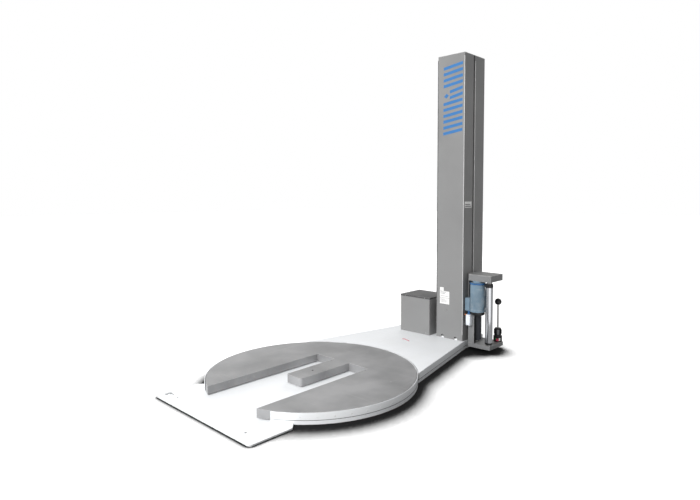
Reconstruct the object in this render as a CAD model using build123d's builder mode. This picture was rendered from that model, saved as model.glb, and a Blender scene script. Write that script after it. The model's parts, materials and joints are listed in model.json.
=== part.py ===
from build123d import *
from math import cos, radians, sin, sqrt
import os

# Turntable pallet wrapper, in millimetres.
# Origin: the turntable's axis, on the floor.  +Y runs to the column, +X to the film carriage.

# ---- driving dimensions: general ----
SHEET = 3.0  # folded sheet steel of covers and shells
TOUCH_GAP = 0.3  # between curved or running faces of different bodies
RUNNING_FIT = 0.05  # radial clearance of a shaft in its bearing
SEAT_FIT = 0.02  # radial clearance of a pin in the lug that holds it
CUT_OVER = 1.0  # how far a cut runs past the face it opens
SMALL_CHAMFER = 1.0
ROLLER_CHAMFER = 1.5

# ---- driving dimensions: turntable ----
TABLE_RADIUS = 825.0
TABLE_TOP = 79.0  # above the floor
TABLE_PLATE = 8.0
SKIRT_WALL = 6.0
SKIRT_BOTTOM = 16.0
SLOT_OUTER = 296.0  # half-width over both fork slots
TONGUE_HALF = 86.0
TONGUE_TIP = -198.0
SLOT_END = 330.0
ARM_TIP_FILLET = 40.0
TONGUE_FILLET = 20.0
SLOT_FILLET = 10.0
COVER_SCREW_RADIUS = 6.0
COVER_SCREW_HEAD = 11.0
COVER_SCREW_SINK = 4.0
RIB = 6.0
RIB_REACH = 60.0  # of the tongue's ribs past the slots' ends
TONGUE_RIB = 56.0  # from the middle to each of those ribs
RIB_BOTTOM = 31.0
RIB_INSET = 25.0  # from the fork slots to the inner ends of the radial ribs

# ---- driving dimensions: support rollers and pivot ----
BASE_THICKNESS = 10.0
ROLLER_ANGLES = (30, 85, 140, 220, 275, 330)  # from +Y, clockwise seen from above
ROLLER_INSET = 65.0  # from the rim to the middle of the rollers
ROLLER_HEADROOM = 10.7  # between the rollers and the plate
ROLLER_WIDTH = 26.0
ROLLER_PIN = 8.0
FORK_PLATE = 4.0
FORK_SIDE_GAP = 0.5
PIN_END = 1.0
FORK_WIDTH = 36.0
FORK_DROP = 14.0  # of the fork plates below the roller's axis
RIB_SHORT = 8.0  # gap between a rib and the fork plates
PIVOT_RADIUS = 20.0
BEARING_RADIUS = 30.0
HUB_RADIUS = 40.0
PIVOT_FLANGE = 55.0
PIVOT_FLANGE_THICKNESS = 6.0
PIVOT_CHAMFER = 2.0
PIVOT_SCREW_INSET = 12.0
PIVOT_SCREW_RADIUS = 4.2
PIVOT_SCREW_HEAD = 8.0
PIVOT_SHORT = 5.0  # of the pin below the plate
HUB_DROP = 6.0  # of the hub below the ribs
BEARING_DROP = 4.0
BEARING_SHORT = 3.0

# ---- driving dimensions: base, guard ring and deck ----
RUNNING_GAP = 4.0
GUARD_WALL = 5.0
RIM_TOP = 27.0
SEAM = 1.0
SEAM_DEPTH = 2.0
GUARD_DROP = 2.0  # from the turntable's top to the guard ring's top
ENTRY_HALF_ANGLE = 28.4
FRONT_HALF = 575.0
FRONT_REACH = 204.0  # from the turntable's rim to the front edge
FRONT_CORNER = 25.0
JOG_DROP = 125.0  # from the turntable's rim back to the jog
JOG_HALF = 520.0
POCKET = 60.0
POCKET_CORNER = 4.0
POCKET_X = -525.0
POCKET_DEPTH = 84.0  # from the front edge to the pocket's middle
ANCHOR_X = 416.0
ANCHOR_DEPTH = 89.0  # from the front edge to the anchor holes
ANCHOR_RADIUS = 9.0
DECK_RISE = 1.0  # of the deck above the turntable's top
DECK_GAP = 3.0
DECK_SHOULDER = 167.0  # from the turntable's side in to the deck's front corners
DECK_LIP = 1.7  # of those corners past the arc
DECK_WAIST = 61.0  # behind the column's front, where the taper ends
DECK_TAIL = 23.0  # behind the column
BASE_SPLIT = 44.0  # in front of the column, where its own base begins
POST_SIZE = 40.0
POST_INSET = 55.0  # of the side posts from the deck's side
MIDDLE_POSTS = (175.0, 415.0)  # behind the turntable's rim
POST_ASIDE = -60.0  # the second of them, between the two chains
FRONT_POSTS = 75.0  # behind the turntable's rim
REAR_POSTS = 225.0  # in front of the waist
CUTOUT_MARGIN = 2.0  # of the deck's cutouts round what stands on the base

# ---- driving dimensions: turntable drive ----
WHEEL_RADIUS = 60.0
WHEEL_BOTTOM = 20.0
WHEEL_ANGLE = 34.0
WHEEL_SHAFT = 12.0
WHEEL_HUB_WALL = 6.0
WHEEL_UNDER = 1.0  # between the wheel and its lower bearing
BEARING_FLANGE = 30.0
BRIDGE_DROP = 3.0  # of the bridge below the shaft's top
LEG_REACH = 78.0
LEG_THICKNESS = 10.0
LEG_WIDTH = 10.0
CHAIN_RADIUS = 40.0
CHAIN_HEIGHT = 6.0
CHAIN_THICKNESS = 5.0
CHAIN_OVER_WHEEL = 4.0
SHAFT_SHORT = 4.0  # of the wheels' shafts below the deck
CHAIN_DROPS = (28.0, 18.0)  # of the left and the right loop below the deck
GEARBOX_SIZE = 140.0
GEARBOX_HEIGHT = 138.0
GEARBOX_FILLET = 12.0
MOTOR_FILLET = 10.0
OUTPUT_BORE = 60.0
OUTPUT_END = 8.0  # of the output shaft below the lower chain
GEARMOTOR_RADIUS = 68.0
GEARMOTOR_LENGTH = 190.0
MOUNT_THICKNESS = 12.0
MOUNT_HALF = 120.0
COVER_WIDTH = 358.0
COVER_DEPTH = 324.0
COVER_HEIGHT = 375.0
COVER_ASIDE = 58.0  # from the column's left side
COVER_AHEAD = 37.0  # in front of the column's front
GEARMOTOR_ASIDE = 180.0  # from the cover's left side
GEARMOTOR_BEHIND = 96.0  # behind the column's front

# ---- driving dimensions: column and lift ----
COLUMN_SETBACK = 719.0  # from the turntable's rim
COLUMN_LEFT = 126.0
COLUMN_WIDTH = 295.0
COLUMN_DEPTH = 363.0
COLUMN_TOP = 2799.0  # above the floor
SLOT_SETBACK = 159.0  # from the column's front
SLOT_WIDTH = 27.0
SLOT_RETURN = 15.0
SHELL_GAP = 0.5  # between the deck and the shells
RETURN_GAP = 1.0  # between the foot and the slot's returns
SHELL_SEAM = 1.0
EDGE_FILLET = 4.0
CAP_FLANGE = 25.0
CAP_FIT = 0.3
PEDESTAL_WALL = 10.0
PEDESTAL_FIT = 3.0
FOOT_THICKNESS = 12.0
FOOT_BOLT_INSET = 24.0
FOOT_BOLT_ACROSS = 24.0
FOOT_BOLT_HEAD = 10.0
FOOT_BOLT_RADIUS = 8.0
FOOT_BOLT_BORE = 30.0
FOOT_BOLT_SHANK = 28.0  # below the foot
FOOT_BOLT_OFFSET = 76.0
NOTCH_HALF = 16.0
NOTCH_HEIGHT = 28.0
RAIL_WALL = 4.0
RAIL_DEPTH = 38.0
GUIDE_RADIUS = 30.0
GUIDE_WIDTH = 22.0
GUIDE_PIN = 8.0
GUIDE_SHOULDER = 5.0
GUIDE_INSET = 6.0
GUIDE_STANDOFF = 8.0
GUIDE_OFFSET = 61.5
GUIDE_LEVELS = (300.0, 590.0)
LIFT_INSET = 119.0  # from the column's right side to the chain's middle
LIFT_SPROCKET_RADIUS = 48.0
LIFT_SPROCKET_WIDTH = 10.0
LIFT_CHAIN = 6.0
LIFT_SHAFT = 12.0
LIFT_SHAFT_HALF = 24.0
CHEEK_OFFSET = 18.0
CHEEK = 8.0
CHEEK_HALF = 35.0
CHEEK_OVER = 30.0
LIFT_GEARBOX_FRONT = 16.0  # gap to the shell's front wall
LIFT_GEARBOX_REAR = 26.0  # from the chain's middle
LIFT_GEARBOX_MARGIN = 10.0
LIFT_MOTOR_SIDE = 22.0  # gap to the shell's left wall
LIFT_MOTOR_FILLET = 8.0
LIFT_PLATE = 8.0
LIFT_PLATE_OVER = 30.0
LIFT_BORE = 60.0
LIFT_SHAFT_END = 14.0
LIFT_DROP = 149.0  # from the column's top to the upper sprocket
LIFT_RISE = 110.0  # from the deck to the lower sprocket
LIFT_GEARBOX = 120.0
LIFT_MOTOR_RADIUS = 60.0
LIFT_MOTOR_LENGTH = 280.0

# ---- driving dimensions: film carriage ----
CARRIAGE_GAP = 4.0
BACKBONE = 6.0
CLAMP_GAP = 0.5
CLAMP_HALF = 14.0
CLAMP_BOTTOM = 140.0  # above the trolley's lower end
CLAMP_HEIGHT = 80.0
POST_SETBACK = 4.0  # of the front post behind the plates' front
POST_WALL = 4.0
ARM_THICKNESS = 12.0
TROLLEY_THICKNESS = 12.0
TROLLEY_BOTTOM = 250.0
TROLLEY_TOP = 640.0
CARRIAGE_SETBACK = 40.0  # of its front behind the column's front
TRAY_DEPTH = 261.0
TRAY_MARGIN = 32.0  # right of the idler's axis
TRAY_TOP = 70.0
TRAY_BOTTOM = 35.0
TRAY_WALL = 4.0
TRAY_FILLET = 5.0
LID_CHAMFER = 0.8
NOSE_ASIDE = 39.0  # from the column to the plates' slanted left front corner
NOSE_DEPTH = 56.0
HOUSING_DEPTH = 228.0
HOUSING_MARGIN = 4.0  # past the tray's right side
HOUSING_BOTTOM = 667.0
HOUSING_TOP = 727.0
POST_WIDTH = 60.0
CARRIAGE_POST_TOP = 345.0
MOTOR_ASIDE = 118.0  # from the column
MOTOR_BEHIND = 33.0  # the plates' front
MOTOR_RADIUS = 70.0
MOTOR_BOTTOM = 375.0
MOTOR_TOP = 652.0
MOTOR_NECK = 45.0
MOTOR_SHAFT = 11.0
MOTOR_BORE = 50.0
SHAFT_CLEARANCE = 4.0
FLANGE_STEP = 1.0
MOTOR_FLANGE = 12.0
FAN_COVER_HEIGHT = 28.0
FAN_COVER_STEP = 4.0
FAN_COVER_FILLET = 5.0
TERMINAL_REACH = 109.0  # from the motor's axis
TERMINAL_WIDTH = 52.0
TERMINAL_DEPTH = 62.0
TERMINAL_AHEAD = 43.0  # of the motor's axis
TERMINAL_BOTTOM = 377.0
TERMINAL_TOP = 500.0
FEED_RADIUS = 43.0
FEED_CHAMFER = 2.0
FEED_BACKBONE_GAP = 3.0
FEED_MOTOR_GAP = 2.0
FEED_PULLEY = 30.0
FEED_SHAFT = 12.0
DRIVE_PULLEY = 24.0
PULLEY_BOTTOM = 684.0
PULLEY_WIDTH = 20.0
PULLEY_END = 6.0  # of the shafts above the pulleys
SHAFT_END = 4.0  # of the rollers' shafts past the plates
BELT = 3.0
BELT_MARGIN = 2.0  # of the belt inside the pulleys' faces
ROLLER_BOTTOM = 84.0
ROLLER_TOP = 648.0
BOSS_HEIGHT = 9.0
BOSS_WALL = 12.0
IDLER_RADIUS = 34.0
IDLER_MOTOR_GAP = 13.0
IDLER_BEHIND = 38.0  # the plates' front
IDLER_WALL = 3.0
IDLER_SHAFT = 8.0
IDLER_TOP = 640.0
CAP_HEIGHT = 16.0
CAP_STEP = 0.5
CAP_CHAMFER = 3.0
SPINDLE_INSET = 48.0  # from the tray's right side
SPINDLE_TAIL = 19.0  # from the tray's rear
SPINDLE_RADIUS = 8.5
SPINDLE_BOSS = 6.0
SPINDLE_CHAMFER = 1.0
SPINDLE_LIFT = 2.0  # of its lower end above the tray's bottom
BRAKE_RADIUS = 41.0
BRAKE_FILLET = 4.0
BRAKE_HEIGHT = 56.0
CORE_GAP = 1.0  # over the brake
CORE_RADIUS = 33.0
CORE_STEP = 3.0  # from the ribs to the drum between them
CORE_RIBS = 6
RIB_DEPTH = 12.0
RIB_WIDTH = 6.0
RIB_MARGIN = 6.0  # from the ribs' ends to the drum's
CORE_HEIGHT = 72.0
BALL_LEVEL = 452.0
BALL_RADIUS = 32.0
BALL_FLAT = 6.0
JUNCTION_OVERHANG = 2.0  # past the front post's left side
JUNCTION_WIDTH = 45.0
JUNCTION_DEPTH = 44.0
JUNCTION_BOTTOM = 245.0
JUNCTION_HEIGHT = 100.0
JUNCTION_FILLET = 3.0

# ---- driving dimensions: control cabinet ----
CABINET_WIDTH = 260.0
CABINET_ASIDE = 121.0  # its right side from the column's right side
CABINET_BOTTOM = 900.0
CABINET_HEIGHT = 600.0
CABINET_DEPTH = 180.0
CABINET_WALL = 2.0
DOOR_THICKNESS = 18.0
DOOR_GAP = 2.0
DOOR_FILLET = 3.0
PANEL_DROP = 90.0  # from the door's top to the upper row of controls
CONTROL_PITCH = 60.0
HINGE_RADIUS = 6.0
HINGE_GAP = 1.0
KNUCKLE_GAP = 0.5
HINGE_LEAF = 3.0
HINGE_REACH = 30.0
HINGE_HEIGHT = 60.0
HINGE_INSET = 90.0
BUTTON_RADIUS = 11.0
BUTTON_LENGTH = 12.0
BUTTON_TRAVEL = 5.0
BUTTON_FIT = 0.4
BUTTON_RIM = 3.0
ESTOP_RADIUS = 20.0
ESTOP_LENGTH = 18.0
COLLAR = 3.0
COLLAR_LENGTH = 12.0  # of the retaining collars behind the door's sheet
KNOB_RADIUS = 12.0
KNOB_LENGTH = 15.0
POINTER = 3.0
SWITCH_RADIUS = 24.0
SWITCH_BASE = 8.0
SWITCH_LENGTH = 25.0
SWITCH_GRIP = 12.0

os.makedirs("parts", exist_ok=True)

# ---- sizes worked out from the driving ones ----
PLATE_BOTTOM = TABLE_TOP - TABLE_PLATE
ROLLER_RADIUS = (PLATE_BOTTOM - BASE_THICKNESS - TOUCH_GAP - ROLLER_HEADROOM) / 2
ROLLER_LEVEL = BASE_THICKNESS + ROLLER_RADIUS + TOUCH_GAP
ROLLER_PATH = TABLE_RADIUS - ROLLER_INSET
RIB_INNER = (SLOT_OUTER + RIB_INSET) / sin(radians(ROLLER_ANGLES[2]))
GUARD_TOP = TABLE_TOP - GUARD_DROP
GUARD_INNER = TABLE_RADIUS + RUNNING_GAP
GUARD_OUTER = GUARD_INNER + GUARD_WALL
FRONT_EDGE = -TABLE_RADIUS - FRONT_REACH
JOG_FRONT = -TABLE_RADIUS + JOG_DROP
POCKET_Y = FRONT_EDGE + POCKET_DEPTH
ANCHOR_Y = FRONT_EDGE + ANCHOR_DEPTH

COLUMN_RIGHT = COLUMN_LEFT + COLUMN_WIDTH
COLUMN_FRONT = TABLE_RADIUS + COLUMN_SETBACK
COLUMN_REAR = COLUMN_FRONT + COLUMN_DEPTH
SLOT_FRONT = COLUMN_FRONT + SLOT_SETBACK
SLOT_REAR = SLOT_FRONT + SLOT_WIDTH

DECK_TOP = TABLE_TOP + DECK_RISE
DECK_UNDER = DECK_TOP - SHEET
DECK_ARC = GUARD_OUTER + DECK_GAP
DECK_FRONT_HALF = TABLE_RADIUS - DECK_SHOULDER
DECK_FRONT_Y = sqrt((DECK_ARC + DECK_LIP) ** 2 - DECK_FRONT_HALF**2)
DECK_REAR_HALF = COLUMN_RIGHT
DECK_WAIST_Y = COLUMN_FRONT + DECK_WAIST
DECK_REAR_Y = COLUMN_REAR + DECK_TAIL
DECK_SLOPE = (DECK_FRONT_HALF - DECK_REAR_HALF) / (DECK_WAIST_Y - DECK_FRONT_Y)
SPLIT_Y = COLUMN_FRONT - BASE_SPLIT

CHAIN_LEVELS = (DECK_TOP - CHAIN_DROPS[0], DECK_TOP - CHAIN_DROPS[1])
WHEEL_TOP = CHAIN_LEVELS[0] - CHAIN_OVER_WHEEL
SHAFT_TOP = DECK_UNDER - SHAFT_SHORT
WHEEL_DISTANCE = TABLE_RADIUS + WHEEL_RADIUS + TOUCH_GAP
WHEEL_X = WHEEL_DISTANCE * sin(radians(WHEEL_ANGLE))
WHEEL_Y = WHEEL_DISTANCE * cos(radians(WHEEL_ANGLE))
COVER_RIGHT = COLUMN_LEFT - COVER_ASIDE
COVER_LEFT = COVER_RIGHT - COVER_WIDTH
COVER_FRONT = COLUMN_FRONT - COVER_AHEAD
COVER_REAR = COVER_FRONT + COVER_DEPTH
COVER_TOP = DECK_TOP + COVER_HEIGHT
GEARMOTOR_X = COVER_LEFT + GEARMOTOR_ASIDE
GEARMOTOR_Y = COLUMN_FRONT + GEARMOTOR_BEHIND
GEARBOX_BOTTOM = DECK_TOP + MOUNT_THICKNESS
GEARBOX_TOP = GEARBOX_BOTTOM + GEARBOX_HEIGHT
SHELL_BOTTOM = DECK_TOP + SHELL_GAP
COLUMN_MIDDLE = (SLOT_FRONT + SLOT_REAR) / 2
COLUMN_CENTRE = (COLUMN_LEFT + COLUMN_RIGHT) / 2
PEDESTAL_LEFT = COLUMN_LEFT + SHEET + PEDESTAL_FIT
PEDESTAL_RIGHT = COLUMN_RIGHT - SHEET - PEDESTAL_FIT
PEDESTAL_FRONT = COLUMN_FRONT + SHEET + PEDESTAL_FIT
PEDESTAL_REAR = COLUMN_REAR - SHEET - PEDESTAL_FIT
FOOT_TOP = DECK_TOP + FOOT_THICKNESS
RETURN_BOTTOM = FOOT_TOP + RETURN_GAP
SHELL_RIGHT = COLUMN_RIGHT - SHEET
SHELL_TOP = COLUMN_TOP - SHEET
LIFT_X = COLUMN_RIGHT - LIFT_INSET
LIFT_TOP = COLUMN_TOP - LIFT_DROP
LIFT_BOTTOM = DECK_TOP + LIFT_RISE
RAIL_LEFT = SHELL_RIGHT - RAIL_DEPTH
RAIL_HALF = GUIDE_RADIUS + TOUCH_GAP
GUIDE_LEFT = RAIL_LEFT + GUIDE_INSET
TROLLEY_RIGHT = GUIDE_LEFT - GUIDE_STANDOFF
TROLLEY_LEFT = TROLLEY_RIGHT - TROLLEY_THICKNESS
CLAMP_LOW = TROLLEY_BOTTOM + CLAMP_BOTTOM
BACKBONE_LEFT = COLUMN_RIGHT + CARRIAGE_GAP
BACKBONE_RIGHT = BACKBONE_LEFT + BACKBONE
STRAND_X = LIFT_X + LIFT_SPROCKET_RADIUS
TRAY_FRONT = COLUMN_FRONT + CARRIAGE_SETBACK
TRAY_REAR = TRAY_FRONT + TRAY_DEPTH
NOSE_X = COLUMN_RIGHT + NOSE_ASIDE
NOSE_Y = TRAY_FRONT + NOSE_DEPTH
POST_RIGHT = NOSE_X + POST_WIDTH
POST_FRONT = TRAY_FRONT + POST_SETBACK
MOTOR_X = COLUMN_RIGHT + MOTOR_ASIDE
MOTOR_Y = TRAY_FRONT + MOTOR_BEHIND
TERMINAL_LEFT = MOTOR_X - TERMINAL_REACH
TERMINAL_RIGHT = TERMINAL_LEFT + TERMINAL_WIDTH
TERMINAL_FRONT = MOTOR_Y - TERMINAL_AHEAD
TERMINAL_REAR = TERMINAL_FRONT + TERMINAL_DEPTH
FEED_X = BACKBONE_RIGHT + FEED_RADIUS + FEED_BACKBONE_GAP
FEED_Y = MOTOR_Y + sqrt((MOTOR_RADIUS + FEED_RADIUS + FEED_MOTOR_GAP) ** 2 - (MOTOR_X - FEED_X) ** 2)
IDLER_X = MOTOR_X + MOTOR_RADIUS + IDLER_RADIUS + IDLER_MOTOR_GAP
IDLER_Y = TRAY_FRONT + IDLER_BEHIND
TRAY_RIGHT = IDLER_X + TRAY_MARGIN
SPINDLE_X = TRAY_RIGHT - SPINDLE_INSET
SPINDLE_Y = TRAY_REAR - SPINDLE_TAIL
HOUSING_RIGHT = TRAY_RIGHT + HOUSING_MARGIN
HOUSING_REAR = TRAY_FRONT + HOUSING_DEPTH
JUNCTION_LEFT = NOSE_X - JUNCTION_OVERHANG
TRAY_UNDER = TRAY_TOP - TRAY_WALL
HOUSING_FLOOR = HOUSING_BOTTOM + SHEET
PULLEY_TOP = PULLEY_BOTTOM + PULLEY_WIDTH
CORE_BOTTOM = TRAY_TOP + BRAKE_HEIGHT + CORE_GAP
LID_BOTTOM = HOUSING_TOP - SHEET
CABINET_RIGHT = COLUMN_RIGHT - CABINET_ASIDE
CABINET_LEFT = CABINET_RIGHT - CABINET_WIDTH
CABINET_CENTRE = (CABINET_LEFT + CABINET_RIGHT) / 2
CABINET_REAR = COLUMN_REAR + CABINET_DEPTH
CABINET_TOP = CABINET_BOTTOM + CABINET_HEIGHT
DOOR_FRONT = CABINET_REAR + DOOR_GAP
DOOR_REAR = DOOR_FRONT + DOOR_THICKNESS
HINGE_X = CABINET_LEFT - HINGE_RADIUS - HINGE_GAP
HINGE_Y = DOOR_REAR - HINGE_RADIUS
KNOB_SEAT = DOOR_REAR + 1
BUTTON_SEAT = KNOB_SEAT + BUTTON_TRAVEL
COLLAR_REAR = DOOR_REAR - CABINET_WALL - BUTTON_FIT
COLLAR_FRONT = DOOR_REAR - CABINET_WALL - COLLAR_LENGTH
PANEL_Z = CABINET_TOP - PANEL_DROP


def slab(x0, x1, y0, y1, z0, z1, mode=Mode.ADD):
    """Box between two corners, in the part being built."""
    with Locations((x0, y0, z0)):
        Box(x1 - x0, y1 - y0, z1 - z0, align=(Align.MIN, Align.MIN, Align.MIN), mode=mode)


def upright(x, y, z0, z1, radius, mode=Mode.ADD):
    """Vertical cylinder."""
    with Locations((x, y, z0)):
        Cylinder(radius, z1 - z0, align=(Align.CENTER, Align.CENTER, Align.MIN), mode=mode)


def along_x(x0, x1, y, z, radius, mode=Mode.ADD):
    """Cylinder along X."""
    with Locations(Location((x0, y, z), (0, 90, 0))):
        Cylinder(radius, x1 - x0, align=(Align.CENTER, Align.CENTER, Align.MIN), mode=mode)


def along_y(x, y0, y1, z, radius, mode=Mode.ADD):
    """Cylinder along Y."""
    with Locations(Location((x, y0, z), (-90, 0, 0))):
        Cylinder(radius, y1 - y0, align=(Align.CENTER, Align.CENTER, Align.MIN), mode=mode)


def save(builder, label):
    """Label a finished piece and write it."""
    builder.part.label = label
    export_step(builder.part, f"parts/{label}.step")


def table_outline(radius=TABLE_RADIUS):
    """Horseshoe plan of the turntable, with the tongue between the fork slots."""
    with BuildSketch() as outline:
        Circle(radius)
        with Locations((0, SLOT_END)):
            Rectangle(2 * SLOT_OUTER, 2 * radius, align=(Align.CENTER, Align.MAX), mode=Mode.SUBTRACT)
        with Locations((0, SLOT_END + SLOT_FILLET)):
            Rectangle(2 * TONGUE_HALF, SLOT_END + SLOT_FILLET - TONGUE_TIP, align=(Align.CENTER, Align.MAX))
        corners = outline.vertices()
        fillet(corners.filter_by_position(Axis.Y, TONGUE_TIP - 1, TONGUE_TIP + 1), TONGUE_FILLET)
        fillet(corners.filter_by_position(Axis.Y, -radius, TONGUE_TIP - 100), ARM_TIP_FILLET)
        fillet(corners.filter_by_position(Axis.Y, SLOT_END - 1, SLOT_END + 1), SLOT_FILLET)
    return outline.sketch


def deck_outline(inset=0.0, arc=DECK_ARC):
    """Tapered plan of the deck, down to an arc round the turntable."""
    side = inset * sqrt(1 + DECK_SLOPE**2)
    front = DECK_FRONT_HALF - side
    rear = DECK_REAR_HALF - inset
    with BuildSketch() as outline:
        with BuildLine():
            Polyline(
                (front + DECK_SLOPE * DECK_FRONT_Y, 0),
                (front, DECK_FRONT_Y),
                (rear, DECK_WAIST_Y),
                (rear, DECK_REAR_Y - inset),
                (-rear, DECK_REAR_Y - inset),
                (-rear, DECK_WAIST_Y),
                (-front, DECK_FRONT_Y),
                (-front - DECK_SLOPE * DECK_FRONT_Y, 0),
                close=True,
            )
        make_face()
        Circle(arc, mode=Mode.SUBTRACT)
        with Locations((0, 0)):
            Rectangle(4 * DECK_ARC, DECK_FRONT_Y, align=(Align.CENTER, Align.MIN), mode=Mode.SUBTRACT)
    return outline.sketch


def entry_wedge(reach):
    """Sector in front of the turntable that the pallet truck drives in through."""
    half = radians(ENTRY_HALF_ANGLE)
    with BuildSketch() as wedge:
        with BuildLine():
            Polyline(
                (0, 0),
                (reach * sin(half), -reach * cos(half)),
                (-reach * sin(half), -reach * cos(half)),
                close=True,
            )
        make_face()
    return wedge.sketch


def ring_arc(inner, outer):
    """Plan of a ring round the turntable, open at the entry."""
    with BuildSketch() as arc:
        Circle(outer)
        Circle(inner, mode=Mode.SUBTRACT)
        add(entry_wedge(2 * outer), mode=Mode.SUBTRACT)
    return arc.sketch


def plate_outline(front, rear, right):
    """Plan of the carriage's tray and housing: a slanted left front corner clears the column."""
    with BuildSketch() as outline:
        with BuildLine():
            Polyline(
                (NOSE_X, front),
                (right, front),
                (right, rear),
                (BACKBONE_LEFT, rear),
                (BACKBONE_LEFT, NOSE_Y),
                close=True,
            )
        make_face()
    return outline.sketch


def inset_of(sketch, amount, kind=Kind.INTERSECTION):
    """The same plan, moved inwards by a wall."""
    with BuildSketch() as inner:
        add(sketch)
        offset(amount=-amount, kind=kind)
    return inner.sketch


# ======== base ========

post_places = [(0, TABLE_RADIUS + MIDDLE_POSTS[0]), (POST_ASIDE, TABLE_RADIUS + MIDDLE_POSTS[1])]
for post_y in (TABLE_RADIUS + FRONT_POSTS, DECK_WAIST_Y - REAR_POSTS):
    post_x = DECK_FRONT_HALF - DECK_SLOPE * (post_y - DECK_FRONT_Y) - POST_INSET
    post_places += [(-post_x, post_y), (post_x, post_y)]

with BuildPart() as base_plate:
    with BuildSketch() as floor:
        Circle(GUARD_OUTER)
        with BuildLine():
            Polyline(
                (-FRONT_HALF, FRONT_EDGE),
                (FRONT_HALF, FRONT_EDGE),
                (FRONT_HALF, JOG_FRONT),
                (JOG_HALF, JOG_FRONT + FRONT_HALF - JOG_HALF),
                (-JOG_HALF, JOG_FRONT + FRONT_HALF - JOG_HALF),
                (-FRONT_HALF, JOG_FRONT),
                close=True,
            )
        make_face()
        fillet(floor.vertices().filter_by_position(Axis.Y, FRONT_EDGE - 1, FRONT_EDGE + 1), FRONT_CORNER)
        add(deck_outline(arc=GUARD_INNER))
        with Locations((POCKET_X, POCKET_Y)):
            RectangleRounded(POCKET, POCKET, POCKET_CORNER, mode=Mode.SUBTRACT)
        with Locations((-ANCHOR_X, ANCHOR_Y), (ANCHOR_X, ANCHOR_Y)):
            Circle(ANCHOR_RADIUS, mode=Mode.SUBTRACT)
    extrude(amount=BASE_THICKNESS)
    # welded rim strip under the guard ring and the deck's sides
    with BuildSketch(Plane.XY.offset(BASE_THICKNESS)) as rim:
        add(ring_arc(GUARD_INNER, GUARD_OUTER))
        with Locations((0, DECK_FRONT_Y)):
            Rectangle(2 * DECK_FRONT_HALF, DECK_ARC, align=(Align.CENTER, Align.MIN), mode=Mode.SUBTRACT)
        add(deck_outline())
        add(deck_outline(GUARD_WALL), mode=Mode.SUBTRACT)
        Circle(GUARD_INNER, mode=Mode.SUBTRACT)
        with Locations((0, DECK_FRONT_Y + GUARD_WALL)):
            Rectangle(
                2 * (DECK_REAR_HALF - GUARD_WALL),
                DECK_WAIST_Y - DECK_FRONT_Y,
                align=(Align.CENTER, Align.MIN),
                mode=Mode.SUBTRACT,
            )
        with Locations((-WHEEL_X, WHEEL_Y), (WHEEL_X, WHEEL_Y)):
            Circle(WHEEL_RADIUS + RUNNING_GAP, mode=Mode.SUBTRACT)
    extrude(amount=RIM_TOP - BASE_THICKNESS)
    # welded posts that carry the deck
    for post_x, post_y in post_places:
        slab(
            post_x - POST_SIZE / 2, post_x + POST_SIZE / 2, post_y - POST_SIZE / 2, post_y + POST_SIZE / 2,
            BASE_THICKNESS, DECK_UNDER,
        )
    split(bisect_by=Plane.XZ.offset(-SPLIT_Y), keep=Keep.TOP)
save(base_plate, "base_plate")

# the column stands on a base of its own, butted to the turntable's
with BuildPart() as column_base:
    with BuildSketch():
        add(deck_outline())
    extrude(amount=BASE_THICKNESS)
    with BuildSketch(Plane.XY.offset(BASE_THICKNESS)):
        add(deck_outline())
        add(deck_outline(GUARD_WALL), mode=Mode.SUBTRACT)
    extrude(amount=RIM_TOP - BASE_THICKNESS)
    split(bisect_by=Plane.XZ.offset(-SPLIT_Y), keep=Keep.BOTTOM)
    # welded posts that carry the gearmotor's mount, and the column's pedestal
    for side_x in (-1, 1):
        for side_y in (0, 1):
            corner_x = GEARMOTOR_X + side_x * (MOUNT_HALF - POST_SIZE / 2)
            corner_y = GEARMOTOR_Y + side_y * (MOUNT_HALF - POST_SIZE / 2)
            slab(
                corner_x - POST_SIZE / 2, corner_x + POST_SIZE / 2, corner_y - POST_SIZE / 2,
                corner_y + POST_SIZE / 2, BASE_THICKNESS, DECK_TOP,
            )
    slab(PEDESTAL_LEFT, PEDESTAL_RIGHT, PEDESTAL_FRONT, PEDESTAL_REAR, BASE_THICKNESS, DECK_TOP)
    slab(
        PEDESTAL_LEFT + PEDESTAL_WALL, PEDESTAL_RIGHT - PEDESTAL_WALL, PEDESTAL_FRONT + PEDESTAL_WALL,
        PEDESTAL_REAR - PEDESTAL_WALL, BASE_THICKNESS, DECK_TOP - PEDESTAL_WALL, mode=Mode.SUBTRACT,
    )
    for bolt_x in (COLUMN_CENTRE - FOOT_BOLT_OFFSET, COLUMN_CENTRE + FOOT_BOLT_OFFSET):
        for bolt_y in (COLUMN_FRONT + FOOT_BOLT_INSET, COLUMN_REAR - FOOT_BOLT_INSET):
            upright(bolt_x, bolt_y, DECK_TOP - FOOT_BOLT_BORE, DECK_TOP, FOOT_BOLT_RADIUS, mode=Mode.SUBTRACT)
save(column_base, "column_base")

with BuildPart() as guard_ring:
    with BuildSketch(Plane.XY.offset(RIM_TOP + SEAM)):
        add(ring_arc(GUARD_INNER, GUARD_OUTER))
    extrude(amount=GUARD_TOP - RIM_TOP - SEAM)
    # inner ledge that closes the seam and stands on the rim strip
    with BuildSketch(Plane.XY.offset(RIM_TOP)):
        add(ring_arc(GUARD_INNER, GUARD_OUTER - SEAM_DEPTH))
    extrude(amount=SEAM)
    for side in (-1, 1):
        upright(
            side * WHEEL_X, WHEEL_Y, RIM_TOP - CUT_OVER, WHEEL_TOP + RUNNING_GAP, WHEEL_RADIUS + RUNNING_GAP,
            mode=Mode.SUBTRACT,
        )
    fillet(guard_ring.edges().filter_by(GeomType.CIRCLE).group_by(Axis.Z)[-1], SMALL_CHAMFER)
save(guard_ring, "guard_ring")

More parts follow.
